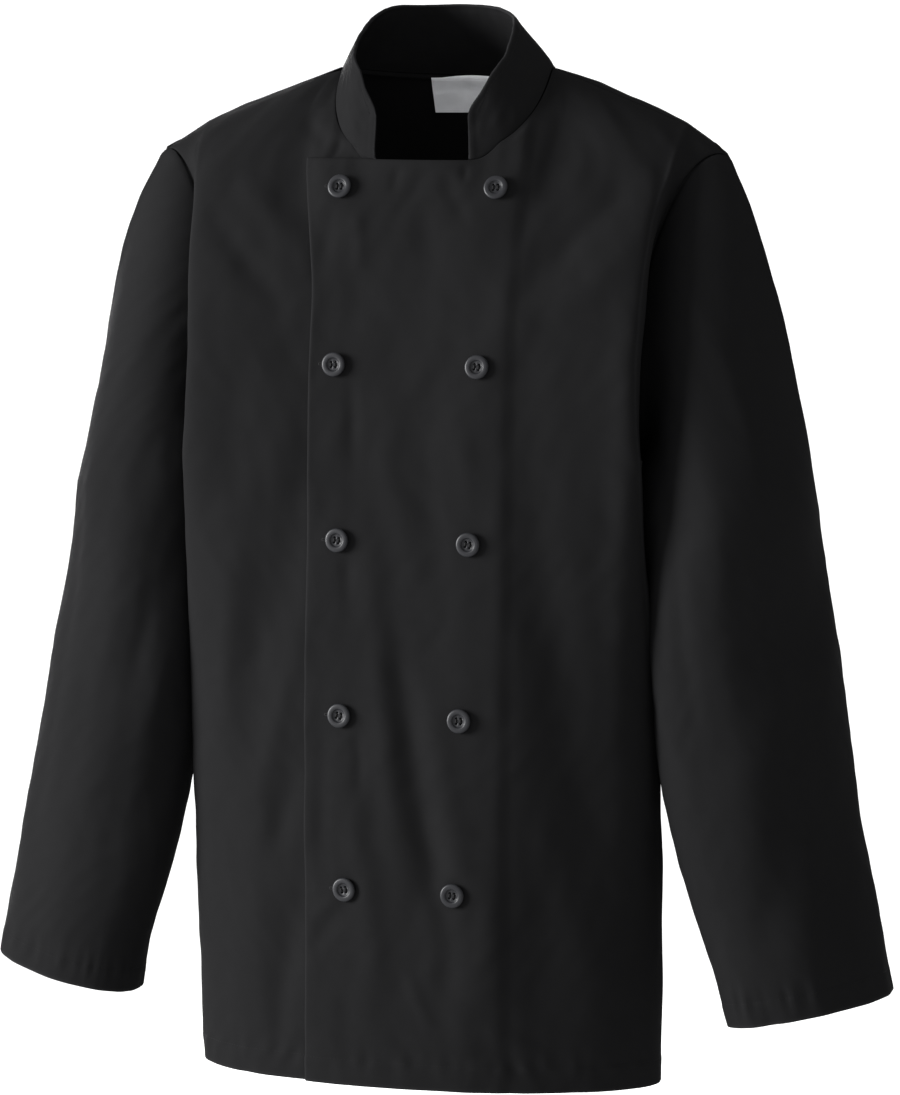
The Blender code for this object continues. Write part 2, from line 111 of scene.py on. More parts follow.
def softWaves(u, v, seed, size, tall=1.0, count=16):  # gentle uneven swelling, about 1 high
    draw = np.random.default_rng(seed)
    total = np.zeros(np.broadcast(u, v).shape)
    bend = 0.35 * size
    u = u + bend * np.sin(v / (0.9 * size) + draw.uniform(0, 6))
    v = v + bend * np.sin(u / (1.1 * size) + draw.uniform(0, 6))
    for _ in range(count):
        angle, turns = draw.uniform(0, pi), 2 * pi / (size * draw.uniform(0.7, 1.7))
        total += np.sin(turns * (u * cos(angle) + v * sin(angle) / tall) + draw.uniform(0, 6.28))
    return total / sqrt(count / 2)


def allWaves(u, v, rows):  # rows of depth in mm, seed, size and tallness
    return sum(depth * mm * softWaves(u, v, seed, size, tall) for depth, seed, size, tall in rows)


def creaseHeight(x, z, path, width, height):  # one fold laid along a bent path, soft at its ends
    path, width = np.array(path, float) * mm, width * mm
    knots = np.linspace(0, 1, len(path))
    line = readTable(np.column_stack([knots, path]), np.linspace(0, 1, 22))[:, 1:]
    reach = 3 * width
    low, high = line.min(0) - reach, line.max(0) + reach
    near = (x > low[0]) & (x < high[0]) & (z > low[1]) & (z < high[1])
    out = np.zeros(x.shape)
    if not near.any():
        return out
    px, pz = x[near], z[near]
    best, along = np.full(px.shape, 9.0), np.zeros(px.shape)
    for i, (a, b) in enumerate(zip(line, line[1:])):
        d = b - a
        s = np.clip(((px - a[0]) * d[0] + (pz - a[1]) * d[1]) / (d @ d), 0, 1)
        far = np.hypot(px - a[0] - s * d[0], pz - a[1] - s * d[1])
        best, along = np.where(far < best, (far, (i + s) / (len(line) - 1)), (best, along))
    out[near] = height * mm * bump(best, width) * np.sin(pi * np.clip(along, 0, 1)) ** 0.8
    return out


def allCreases(x, z, table):
    return sum(creaseHeight(x, z, *row) for row in table)


# the jacket's own form, the same one that its solids were cut from
bodyForm = {
    "cloth": 1.5 * mm,
    "hem": round(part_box("back")[0][2], 3),
    "armpit": -0.290,
    "archStart": -0.170,
    "archReach": 0.055,
    "layerStep": 2.6 * mm,
    "layerShows": 1.3 * mm,
    "overlapHalf": 0.075,
    "overlapTop": -0.0665,
    "frontScoop": 0.45,
    "backScoop": 0.70,
    "backFoldShare": 0.70,
    # height, front, flat, foldHalf, foldDepth, bulge, sideHalf, sideDepth, back
    "sections": [
        (-0.748, 0.120, 0.58, 0.178, 0.042, 0.040, 0.158, -0.004, -0.092),
        (-0.640, 0.120, 0.58, 0.181, 0.048, 0.038, 0.157, -0.004, -0.087),
        (-0.540, 0.120, 0.60, 0.181, 0.056, 0.034, 0.155, -0.004, -0.081),
        (-0.440, 0.115, 0.66, 0.180, 0.068, 0.026, 0.151, -0.002, -0.079),
        (-0.350, 0.107, 0.74, 0.178, 0.084, 0.018, 0.149, 0.000, -0.084),
        (-0.290, 0.104, 0.80, 0.177, 0.093, 0.012, 0.150, 0.000, -0.089),
        (-0.230, 0.101, 0.84, 0.177, 0.096, 0.009, 0.154, 0.000, -0.094),
        (-0.170, 0.092, 0.84, 0.179, 0.088, 0.008, 0.158, 0.000, -0.095),
    ],
    # across, heading, slope, reach
    "frontTop": [
        (0.00, 0, 6.00, 0.040),
        (0.11, 10, 3.20, 0.040),
        (0.27, 32, 1.25, 0.042),
        (0.40, 50, 0.66, 0.044),
        (0.48, 50, 0.46, 0.046),
        (0.60, 32, 0.42, 0.046),
        (0.78, 10, 0.34, 0.044),
        (1.00, 0, 0.30, 0.042),
        (1.50, -4, 0.30, 0.036),
        (2.00, -8, 0.34, 0.030),
    ],
    "backTop": [
        (0.00, 0, 2.20, 0.050),
        (0.11, 8, 1.90, 0.050),
        (0.27, 24, 1.00, 0.050),
        (0.40, 40, 0.40, 0.052),
        (0.48, 42, 0.08, 0.054),
        (0.60, 28, -0.10, 0.056),
        (0.78, 10, -0.22, 0.056),
        (1.00, 0, -0.26, 0.054),
        (1.50, -4, -0.28, 0.046),
        (2.00, -8, -0.32, 0.034),
    ],
}

neckForm = {
    "half": 0.082,
    "front": 0.0675,
    "back": 0.071,
    "dropFront": 0.067,
    "dropBack": 0.008,
    "power": 0.80,
    "pointAcross": 0.48,
    "shoulderFold": (0.186, -0.007, -0.0410),
    "shoulderTip": (0.2190, -0.014, -0.0630),
}


def frontSection(across, z):
    _, front, flat, foldHalf, foldDepth, bulge, sideHalf, sideDepth, _ = readTable(bodyForm["sections"], z)
    t = np.linspace(0, 1, 97)[:, None]
    corner = np.array([foldHalf, -foldDepth])
    toFold = bezier(
        np.array([0, -front]), np.array([flat * foldHalf, -front]), corner - (0, bulge), corner, t
    )
    nearSide = np.array([sideHalf - mm, -sideDepth - 0.6 * (foldDepth - sideDepth)])
    toSide = bezier(corner, corner + (0, 0.5 * bulge), nearSide, np.array([sideHalf, -sideDepth]), t)
    xy = np.where((across <= 1)[:, None], alongLine(toFold, across), alongLine(toSide, across - 1))
    return np.column_stack([xy, np.full(len(across), z)])


def backSection(across, z):
    s = readTable(bodyForm["sections"], z)
    sideHalf, sideDepth, back = s[6:]
    line = bezier(
        np.array([0, -back]),
        np.array([0.66 * sideHalf, -back]),
        np.array([sideHalf - 4 * mm, -sideDepth - 0.68 * (back - sideDepth)]),
        np.array([sideHalf, -sideDepth]),
        np.linspace(0, 1, 97)[:, None],
    )
    fold = bodyForm["backFoldShare"]
    share = np.where(across > 1, fold + (across - 1) * (1 - fold), across * fold)
    return np.column_stack([alongLine(line, share), np.full(len(across), z)])


def topPoint(across, front):  # the neckline, then the shoulder seam out to its tip
    n = neckForm
    turn = np.clip(1 - across / n["pointAcross"], 0, 1) * pi / 2
    if front:
        wide, deep = np.cos(turn).clip(0) ** n["power"], np.sin(turn).clip(0) ** n["power"]
        level = deep + (1 - deep) * easeStep(deep, 0.80, 0.955)
        neck = np.column_stack([n["half"] * wide, -n["front"] * deep**0.94, -n["dropFront"] * level])
    else:
        neck = np.column_stack(
            [n["half"] * np.cos(turn), n["back"] * np.sin(turn), -n["dropBack"] * np.sin(turn)]
        )
    point, fold, tip = np.array([n["half"], 0, 0]), np.array(n["shoulderFold"]), np.array(n["shoulderTip"])
    a = across[:, None]
    toFold = point + (fold - point) * (a - n["pointAcross"]) / (1 - n["pointAcross"])
    toTip = fold + (tip - fold) * (a - 1)
    return np.where(a <= n["pointAcross"], neck, np.where(a <= 1, toFold, toTip))


def surfaceRow(across, level, front):  # points of the front or back form along one row of places
    section = frontSection if front else backSection
    place = np.abs(across)
    level = np.broadcast_to(np.asarray(level, float), place.shape)
    start = bodyForm["archStart"]
    if level.max() <= start + 1e-9:
        points = section(place, level[0])
    else:
        foot = section(place, start)
        climb = foot - section(place, start - 0.01)
        edge = readTable(bodyForm["frontTop" if front else "backTop"], place)
        heading, slope, reach = np.radians(edge[:, 1]), edge[:, 2], edge[:, 3:]
        arrive = unit(np.column_stack([-np.sin(heading), np.cos(heading) * (1 if front else -1), slope]))
        top = topPoint(place, front)
        t = (1 - level / start)[:, None]
        points = bezier(foot, foot + climb * bodyForm["archReach"] / 0.01, top - arrive * reach, top, t)
    points[:, 0] *= np.where(across < 0, -1, 1)
    return points


def armholeEdge(level, front):  # how far across a body piece reaches at a height
    if level <= bodyForm["armpit"]:
        return 2.0
    up = 1 - level / bodyForm["armpit"]
    scoop = bodyForm["frontScoop" if front else "backScoop"]
    return 2 - scoop * (1 - abs(2 * up - 1) ** 3.2) ** 0.6


def bodyLevels():  # heights of the rows, close together at the hem's stitching, the armpit and the top
    hem, pit, arch = bodyForm["hem"], bodyForm["armpit"], bodyForm["archStart"]
    fold = np.array([0, 0.6, 1.4, 2.6, 4.5, 7, 10, 13, 15, 16.4, 17.4, 18, 18.6, 19.6, 21, 23.5, 27])
    nearHem = hem + fold * mm
    nearPit = pit + np.array([-0.8, 0, 0.3, 0.9, 1.9, 3.4, 5.5, 8]) * mm
    nearTop = np.array([-14, -11, -8.5, -6.4, -4.8, -3.5, -2.4, -1.5, -0.8, -0.3, 0]) * mm
    low = np.linspace(nearHem[-1] + 3 * mm, pit - 3 * mm, 142)
    side = np.linspace(nearPit[-1] + 3 * mm, arch, 30)
    over = np.linspace(arch, -17 * mm, 48)[1:]
    return np.concatenate([nearHem, low, nearPit, side, over, nearTop])


def gridNormals(grid, outward, closed=False):
    across = np.gradient(grid, axis=1)
    if closed:
        across = (np.roll(grid, -1, axis=1) - np.roll(grid, 1, axis=1)) / 2
    return unit(np.cross(across, np.gradient(grid, axis=0))) * outward


def shellMesh(name, outer, normal, wall, grain, wearAndHighlight, outward, closed=False, soft=(1, 1, 1, 1)):
    # soft says how round the hem, right, top and left edges are; a seam edge is square
    rows, columns = outer.shape[:2]
    size = rows * columns
    flatOuter, flatNormal, half = outer.reshape(-1, 3), normal.reshape(-1, 3), wall.reshape(-1, 1) / 2
    index = np.arange(size).reshape(rows, columns)
    right = np.roll(index, -1, axis=1)
    last = columns if closed else columns - 1
    quads = np.stack([index[:-1, :last], right[:-1, :last], right[1:, :last], index[1:, :last]], -1)
    quads = quads.reshape(-1, 4)[:, ::outward]
    up, across = np.gradient(outer, axis=0), np.gradient(outer, axis=1)
    sides = [
        (index[0], -up[0], soft[0]),
        (index[:, -1], across[:, -1], soft[1]),
        (index[-1, ::-1], up[-1, ::-1], soft[2]),
        (index[::-1, 0], -across[::-1, 0], soft[3]),
    ]
    if closed:
        sides = [sides[0], (index[-1], up[-1], soft[2])]
    points, faces = [flatOuter, flatOuter - 2 * half * flatNormal], [quads, quads[:, ::-1] + size]
    loops, start = [], 2 * size
    arcs = pi / 5 * np.arange(1, 5)
    for edge, away, bulge in sides:  # each edge is rounded over from the outer face to the inner one
        reach, out = half[edge], flatNormal[edge]
        middle = flatOuter[edge] - out * reach
        away = unit(away) * bulge
        points += [middle + reach * (out * cos(a) + away * sin(a)) for a in arcs]
        ids = start + np.arange(len(arcs) * len(edge)).reshape(len(arcs), len(edge))
        start += ids.size
        loops.append(np.concatenate([edge[None], ids, edge[None] + size]))
    if not closed:
        loops = [np.concatenate(loops, axis=1)]
    for k, loop in enumerate(loops):
        after = np.roll(loop, -1, axis=1)
        strip = np.stack([loop[:-1], loop[1:], after[1:], after[:-1]], -1).reshape(-1, 4)
        faces.append(strip[:, ::-1] if (outward < 0) != (k == 1) else strip)
    mesh = bpy.data.meshes.new(name)
    mesh.from_pydata(np.concatenate(points).tolist(), [], cleanFaces(np.concatenate(faces)))
    # the edge mask is painted highlight, partly edge wear; the inner face gets none of it
    flat, edgeWearAndHighlight = grain.reshape(-1, 2), wearAndHighlight.reshape(-1)
    edgeIds = np.concatenate([np.tile(edge, len(arcs)) for edge, _, _ in sides])
    edgeWearAndHighlight = np.concatenate([edgeWearAndHighlight, edgeWearAndHighlight * 0, edgeWearAndHighlight[edgeIds]])
    finishMesh(mesh, np.concatenate([flat, flat, flat[edgeIds]]), edgeWearAndHighlight)
    return mesh


def cleanFaces(faces):  # a corner of a strip may fold to a triangle
    kept = ([v for i, v in enumerate(face) if v != face[i - 1]] for face in faces.tolist())
    return [face for face in kept if len(set(face)) >= 3]


def finishMesh(mesh, grain, edgeWearAndHighlight):
    mesh.update()
    corner = np.empty(len(mesh.loops), np.int32)
    mesh.loops.foreach_get("vertex_index", corner)
    layer = mesh.uv_layers.new(name="grain")
    layer.data.foreach_set("uv", grain[corner].astype(np.float32).ravel())
    # stores the edge mask: painted highlight, partly edge wear
    mesh.attributes.new("wearAndHighlight", "FLOAT", "POINT").data.foreach_set("value", edgeWearAndHighlight.astype(np.float32))
    mesh.shade_smooth()


def plainMesh(name, points, faces):
    mesh = bpy.data.meshes.new(name)
    mesh.from_pydata([tuple(p) for p in points], [], faces)
    mesh.update()
    mesh.shade_smooth()
    return mesh


def addObject(name, data):
    made = bpy.data.objects.new(name, data)
    scene.collection.objects.link(made)
    return made


def addPiece(name, mesh, material, slotName, *nodes):
    piece = addObject(name, mesh)
    mesh.materials.append(material)
    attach(piece, "root")
    if nodes:
        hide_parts(*nodes)
    return piece


def tubeFaces(rings, sides, start=0, closed=False):
    return [
        [start + a * sides + k, start + b * sides + k, start + b * sides + m, start + a * sides + m]
        for a, b in ((i, (i + 1) % rings) for i in range(rings if closed else rings - 1))
        for k, m in ((k, (k + 1) % sides) for k in range(sides))
    ]


def nodeTree(name):
    material = bpy.data.materials.new(name)
    material.use_nodes = True
    tree = material.node_tree
    return material, tree, tree.nodes["Principled BSDF"]


def addNode(tree, kind, links=(), **settings):  # makes one node, with its sockets set or joined
    made = tree.nodes.new("ShaderNode" + kind)
    for key, value in settings.items():
        setattr(made, key, value)
    for key, source in dict(links).items():
        if hasattr(source, "is_linked"):
            tree.links.new(source, made.inputs[key])
        else:
            made.inputs[key].default_value = source
    return made.outputs


def maths(tree, a, factor, plus=0.0):  # a times factor, plus more
    return addNode(tree, "Math", {0: a, 1: factor, 2: plus}, operation="MULTIPLY_ADD")[0]


def noise(tree, at, scale, detail, **more):
    links = {"Vector": at, "Scale": scale, "Detail": detail}
    links.update((key.capitalize(), value) for key, value in more.items())
    return addNode(tree, "TexNoise", links)["Fac"]


def stretched(tree, at, factors):
    return addNode(tree, "VectorMath", {0: at, 1: factors}, operation="MULTIPLY")[0]


def mixed(tree, a, b, share):  # a colour part way from a to b
    a, b = ((*colour, 1) if isinstance(colour, tuple) else colour for colour in (a, b))
    return addNode(tree, "Mix", {6: a, 7: b, 0: share}, data_type="RGBA")[2]


def bumped(tree, height, strength, distance, **under):
    links = {"Height": height, "Strength": strength, "Distance": distance}
    links.update((key.capitalize(), value) for key, value in under.items())
    return addNode(tree, "Bump", links)[0]


def dress(tree, shader, colour, roughness, normal, specular=None):
    tree.links.new(colour, shader.inputs["Base Color"])
    tree.links.new(roughness, shader.inputs["Roughness"])
    tree.links.new(normal, shader.inputs["Normal"])
    if specular is not None:
        shader.inputs["Specular IOR Level"].default_value = specular


def clothGrain(tree):  # the cloth's own flat measure, in millimetres
    return stretched(tree, addNode(tree, "UVMap", uv_map="grain")[0], (1000, 1000, 1000))


def objectPlace(tree):
    return addNode(tree, "TexCoord")["Object"]


twill = {
    "deep": (0.0043, 0.0043, 0.0045),
    "lit": (0.0077, 0.0077, 0.0080),
    # lighter edge colour: painted highlight along folded edges and the fold ridge, partly edge wear
    "rubbedAndHighlit": (0.020, 0.020, 0.021),
    "waleScale": 0.95,  # diagonal ribs, about 0.66 mm apart
    "waleDepth": 0.10 * mm,
    "crumple": 0.5 * mm,
    "shine": 0.01,
}


def makeTwill():
    material, tree, shader = nodeTree("blackTwill")
    grain, place = clothGrain(tree), objectPlace(tree)
    ribs = {"Vector": grain, "Scale": twill["waleScale"], "Distortion": 0.6, "Detail": 1.0}
    ribs["Detail Scale"] = 0.3
    wale = addNode(tree, "TexWave", ribs, wave_type="BANDS", bands_direction="DIAGONAL")["Fac"]
    slub = noise(tree, stretched(tree, grain, (2.4, 0.12, 1)), 1.0, 2.0)
    pick = noise(tree, stretched(tree, grain, (0.10, 2.1, 1)), 1.0, 2.0)
    mottle = noise(tree, place, 140.0, 3.0, roughness=0.65)
    shade = maths(tree, noise(tree, place, 9.0, 4.0, roughness=0.6), 0.55, 0.02)
    for part, share in ((mottle, 0.34), (slub, 0.30), (wale, 0.16)):
        shade = maths(tree, part, share, shade)
    shade = addNode(tree, "Math", {0: shade, 1: -0.18}, operation="ADD", use_clamp=True)[0]
    # painted highlight, partly edge wear: the edge mask mixes the lighter edge colour onto folded edges and
    # the fold ridge
    edgeWearAndHighlight = addNode(tree, "Attribute", attribute_name="wearAndHighlight")["Fac"]
    patchy = noise(tree, place, 420.0, 2.0)
    rubAndHighlight = addNode(tree, "Math", {0: edgeWearAndHighlight, 1: patchy}, operation="MULTIPLY", use_clamp=True)[0]
    colour = mixed(tree, mixed(tree, twill["deep"], twill["lit"], shade), twill["rubbedAndHighlit"], rubAndHighlight)
    height = maths(tree, pick, 0.4, maths(tree, slub, 0.5, wale))
    weave = bumped(tree, height, 0.5, twill["waleDepth"])
    crumple = bumped(tree, noise(tree, place, 46.0, 3.0, roughness=0.5), 0.35, twill["crumple"], normal=weave)
    dress(tree, shader, colour, maths(tree, mottle, 0.16, 0.78), crumple, twill["shine"])
    return material


def makeThread():
    material, tree, shader = nodeTree("blackThread")
    twist = noise(tree, objectPlace(tree), 2600.0, 1.0)
    colour = mixed(tree, (0.0030, 0.0030, 0.0032), (0.0062, 0.0062, 0.0066), twist)
    dress(tree, shader, colour, maths(tree, twist, 0.2, 0.5), bumped(tree, twist, 0.4, 0.05 * mm), 0.06)
    return material


def makeButtonResin():
    material, tree, shader = nodeTree("buttonResin")
    place = objectPlace(tree)
    cloud, fine = noise(tree, place, 190.0, 3.0, distortion=1.2), noise(tree, place, 1500.0, 2.0)
    colour = mixed(tree, (0.0042, 0.0044, 0.0054), (0.0085, 0.0088, 0.0106), cloud)
    dress(tree, shader, colour, maths(tree, fine, 0.18, 0.34), bumped(tree, fine, 0.12, 0.04 * mm), 0.17)
    return material


def makeLabelSatin():
    material, tree, shader = nodeTree("whiteLabel")
    grain = clothGrain(tree)
    ribs = {"Vector": grain, "Scale": 1.1, "Distortion": 0.4, "Detail": 1.0}
    rib = addNode(tree, "TexWave", ribs, bands_direction="Y")["Fac"]
    cloud = noise(tree, grain, 0.25, 3.0)
    colour = mixed(tree, (0.86, 0.87, 0.90), (0.93, 0.94, 0.97), cloud)
    dress(tree, shader, colour, maths(tree, cloud, 0.2, 0.42), bumped(tree, rib, 0.3, 0.06 * mm))
    return material


twillCloth, blackThread = makeTwill(), makeThread()
buttonResin, labelSatin = makeButtonResin(), makeLabelSatin()
print("materials made")

# one sewn stitch: share along, lift and fullness of each ring round the thread
threadForm = {
    "pitch": 2.8 * mm,
    "long": 2.1 * mm,
    "thick": 0.19 * mm,
    "rings": [(-0.5, -0.7, 0.3), (-0.32, 0.05, 0.85), (0, 0.3, 1), (0.32, 0.05, 0.85), (0.5, -0.7, 0.3)],
    "sides": 6,
}


# lays one short sunk thread to each pitch of a line on the cloth
def addStitches(name, points, normals, material=blackThread, slotName="cloth", **other):
    t = {**threadForm, **other}
    length = runLengths(points)
    at = np.arange(t["pitch"] / 2, length[-1] - t["pitch"] / 2, t["pitch"])
    middle, out = readAlong(length, points, at), unit(readAlong(length, normals, at))
    ahead, behind = (readAlong(length, points, at + end * t["long"] / 2) for end in (1, -1))
    along = unit(ahead - behind)
    side = np.cross(out, along)
    sides, rings, thick = t["sides"], len(t["rings"]), t["thick"]
    turns = [2 * pi * k / sides for k in range(sides)]
    verts = []
    for s, lift, fat in t["rings"]:
        centre = middle + along * (s * t["long"]) + out * (lift * thick)
        verts += [centre + side * (thick * fat * cos(a)) + out * (thick * fat * sin(a)) for a in turns]
    one = tubeFaces(rings, sides) + [list(range(sides)), [rings * sides - 1 - k for k in range(sides)]]
    faces = [[v + k * len(verts) for v in face] for k in range(len(at)) for face in one]
    mesh = plainMesh(name, np.stack(verts, 1).reshape(-1, 3), faces)
    return addPiece(name, mesh, material, slotName)


def boxMiddle(node):
    return np.mean(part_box(node), axis=0)


# where each button sits: the cloth lies flat under it
buttonNames = [f"button_{side}_{row}" for side in ("left", "right") for row in range(1, 6)]
buttonSpots = {name: boxMiddle(name) for name in buttonNames}


def calmAtButtons(x, z):  # 0 under a button, 1 away from them
    spots = buttonSpots.values()
    return np.prod([1 - bump(np.hypot(x - spot[0], z - spot[2]), 11 * mm) for spot in spots], axis=0)


# path of (across, height), width and rise, all in millimetres: a trough has a minus rise
frontFolds = {
    "strength": 1.25,
    # depth in mm, seed, size, tallness
    "waves": [(0.30, 11, 0.060, 1.8), (0.13, 12, 0.024, 1.4)],
    "sideWaves": (0.5 * mm, 31, 0.05, 2.0),
    "turned": [  # how the whole front turns: forward by the hidden edge, away beyond it
        ([(64, -30), (66, -240), (68, -460), (68, -800)], 44, 4.2),
        ([(158, -30), (160, -240), (158, -460), (160, -760)], 45, -4.6),
    ],
    "lap": [  # the lapping panel, centre
        ([(-30, -330), (-22, -400), (-12, -470), (-3, -550), (6, -625)], 12, 2.2),
        ([(-8, -395), (4, -465), (18, -540), (31, -610)], 11, -2.4),
        ([(16, -430), (30, -500), (44, -570), (52, -625)], 12, 1.5),
        ([(14, -530), (28, -590), (38, -645), (30, -715)], 10, -1.6),
        ([(60, -560), (67, -620), (62, -685)], 10, 1.3),
        ([(4, -655), (14, -680), (26, -704)], 6, 0.9),
        ([(56, -702), (80, -708), (104, -716)], 6, 0.9),
        ([(12, -718), (55, -722), (98, -726)], 6, -0.7),
        ([(44, -590), (51, -670), (58, -745)], 22, 2.1),
        ([(-43, -608), (-58, -616), (-70, -624)], 5, 0.9),
        ([(-46, -620), (-60, -634), (-70, -650)], 7, -0.8),
        ([(-58, -470), (-61, -530), (-60, -600)], 8, -1.1),
        ([(-46, -500), (-31, -570), (-20, -640), (-24, -725)], 12, 1.5),
        ([(-34, -482), (-31, -505), (-30, -535)], 5, -0.9),
        ([(-42, -224), (-41, -255), (-40, -300)], 6, -1.1),
        ([(-44, -352), (-43, -372), (-42, -400)], 6, -0.9),
        ([(-21, -220), (-12, -290), (4, -350), (12, -405)], 12, 1.2),
        ([(14, -260), (22, -320), (28, -380)], 10, -1.0),
        ([(-46, -104), (-42, -122), (-40, -150)], 6, 0.9),
        ([(-64, -100), (-68, -125), (-70, -160)], 7, -1.0),
        ([(-16, -66), (-17, -76), (-20, -92)], 4, -0.9),
        ([(18, -74), (26, -92), (42, -116)], 6, -0.9),
        ([(6, -70), (-4, -92), (-22, -118)], 6, -0.7),
        ([(33, -64), (34, -72), (35, -84)], 2.8, -1.2),
        ([(0, -100), (10, -130), (14, -165)], 10, -0.7),
        ([(30, -230), (46, -270), (52, -330)], 10, 0.8),
        ([(40, -385), (30, -410), (12, -430)], 7, -0.7),
    ],
    "leftPanel": [  # the wearer's left, out to the arm
        ([(170, -70), (136, -106), (102, -142), (80, -178)], 11, -2.3),
        ([(172, -108), (150, -140), (122, -168), (100, -200)], 13, 1.4),
        ([(125, -60), (108, -90), (90, -115)], 9, 0.9),
        ([(86, -190), (96, -300), (112, -420), (134, -540), (150, -630)], 21, -3.4),
        ([(168, -170), (166, -300), (161, -440), (160, -570)], 12, 2.0),
        ([(100, -560), (106, -630), (104, -700)], 16, -1.4),
        ([(138, -620), (146, -680), (144, -735)], 14, 1.2),
    ],
    "rightPanel": [  # the wearer's right, out to the arm
        ([(-92, -300), (-104, -380), (-117, -450), (-122, -540)], 20, -4.2),
        ([(-138, -350), (-141, -430), (-149, -510)], 12, 1.3),
        ([(-80, -415), (-98, -480), (-116, -545)], 10, 1.5),
        ([(-76, -485), (-94, -550), (-118, -610)], 11, -1.7),
        ([(-74, -570), (-82, -625), (-94, -680), (-101, -730)], 12, -1.9),
        ([(-100, -550), (-115, -620), (-132, -695)], 14, 0.8),
        ([(-104, -300), (-116, -340), (-124, -400)], 12, -0.8),
        ([(-153, -72), (-124, -98), (-98, -124), (-78, -152)], 10, 1.7),
        ([(-164, -102), (-140, -130), (-114, -158), (-92, -178)], 10, -1.9),
        ([(-102, -38), (-90, -48), (-78, -58)], 6, -1.0),
        ([(-80, -12), (-76, -26), (-71, -42)], 4, 0.9),
        ([(-66, -52), (-70, -62), (-78, -74)], 3.5, -1.3),
        ([(-84, -200), (-88, -260), (-100, -320)], 12, 0.8),
        ([(-130, -210), (-136, -270), (-132, -330)], 14, -1.0),
    ],
}


def frontRelief(x, z, arc):  # how far the worn cloth stands off its smooth form
    creases = frontFolds["lap"] + frontFolds["leftPanel"] + frontFolds["rightPanel"]
    relief = frontFolds["strength"] * allCreases(x, z, creases) + allWaves(arc, z, frontFolds["waves"])
    return relief * calmAtButtons(x, z) + allCreases(x, z, frontFolds["turned"])


hemForm = {"deep": 18 * mm, "ditch": 0.22 * mm, "pucker": 0.17 * mm, "turned": 0.42 * mm, "layer": 0.9 * mm}


def hemRelief(arc, rise, seed):  # ripples either side of the hem's stitching, and the turned band
    draw = softWaves(arc, rise * 0.4, seed, 0.011, count=10)
    line = rise - hemForm["deep"]
    puckers = hemForm["pucker"] * draw * (bump(line, 7 * mm) + 0.5 * bump(line, 14 * mm))
    band = hemForm["turned"] * (1 - easeStep(line, -0.8 * mm, 2 * mm))
    return puckers - hemForm["ditch"] * bump(line, 1.3 * mm) + band


def roll(distance, width, depth):
    return -depth * np.clip(1 - distance / width, 0, 1) ** 2


def seamRoll(fromSide, fromTop):
    return roll(fromSide, 2.4 * mm, 0.7 * mm) + roll(fromTop, 2.4 * mm, 0.7 * mm)


seamSteps = np.array([0, 0.4, 0.9, 1.6, 2.6, 4, 6]) * mm
lapSteps = np.array([0, 0.5, 1.1, 2, 3.2, 4.4, 5.4, 6, 6.6, 7.6, 9, 11]) * mm


def evenRows(fine, columns, startSteps, endSteps):
    lengths = [runLengths(row[:, :3]) for row in fine]
    spread = [edgeSpread(length[-1], columns, startSteps, endSteps) for length in lengths]
    return np.array([readAlong(length, row, at) for length, row, at in zip(lengths, fine, spread)])


def frontGrid(under):
    levels, start, lap = bodyLevels(), bodyForm["archStart"], 60
    places = np.linspace(0, 0.9, 120)
    edges = []  # how far across the lap's edge lies at each height
    for level in levels:
        widths = surfaceRow(places, min(level, start), True)[:, 0]
        edges.append(float(np.interp(bodyForm["overlapHalf"], widths, places)))
    lapShare = np.linspace(1, 0, lap + 1)[:-1]
    climb = np.linspace(start, 0, 90)
    heights = np.array([surfaceRow(lapShare * edges[-1], v, True)[:, 2] for v in climb])
    lapTops = np.array([np.interp(bodyForm["overlapTop"], heights[:, k], climb) for k in range(lap)])
    fine = []
    for level, edge in zip(levels, edges):
        beyond = 1 + np.linspace(0, 1, 130)[1:] * (armholeEdge(level, True) - 1)
        row = np.concatenate([-lapShare * edge, np.linspace(0, 1, 150), beyond])
        height = np.full(len(row), level)
        if level > start:
            share = 1 - level / start
            height[:lap] = start + share * (lapTops - start)
            if under:
                height -= share**3 * 4 * mm * (1 - easeStep(row, 0.07, 0.115))
        fine.append(np.column_stack([surfaceRow(row, height, True), row]))
    fine = np.array(fine)
    if under:
        form, place = fine[..., :3], fine[..., 3]
        form -= gridNormals(form, 1) * (bodyForm["layerStep"] * (1 - easeStep(place, 0.44, 0.58)))[..., None]
        form[..., 0] *= -1
    grid = evenRows(fine, 172, lapSteps, seamSteps)
    return grid[..., :3], grid[..., 3]


def softenShoulder(grid):  # lets the ridge below the neck point melt into the chest
    up, run = runLengths(grid), rowRuns(grid)
    weight = easeStep(up[-1] - up, 4 * mm, 42 * mm) * easeStep(grid[..., 2], -0.30, -0.20)
    weight *= easeStep(run, 5 * mm, 30 * mm) * easeStep(run[:, -1:] - run, 5 * mm, 30 * mm)
    soft = grid.copy()
    for _ in range(60):
        soft[:, 1:-1] = 0.5 * soft[:, 1:-1] + 0.25 * (soft[:, :-2] + soft[:, 2:])
    return grid + (soft - grid) * weight[..., None]


def sewPanel(name, pieceName, node, shape, fold, wearAndHighlight, soft, hemColumn):
    outer, side, arc, z, rise = shape
    shown = gridNormals(outer, side)
    wall = bodyForm["cloth"] + hemForm["layer"] * (1 - easeStep(rise, 17.5 * mm, 18.6 * mm)) * fold
    mesh = shellMesh(name, outer, shown, wall, np.stack([arc, z], -1), wearAndHighlight.clip(0, 1), side, soft=soft)
    piece = addPiece(pieceName, mesh, twillCloth, "cloth", node)
    hemRow = int(np.argmin(np.abs(rise[:, hemColumn] - hemForm["deep"])))
    return piece, addStitches(name + "Stitches", outer[hemRow, 2:-2], shown[hemRow, 2:-2]), shown


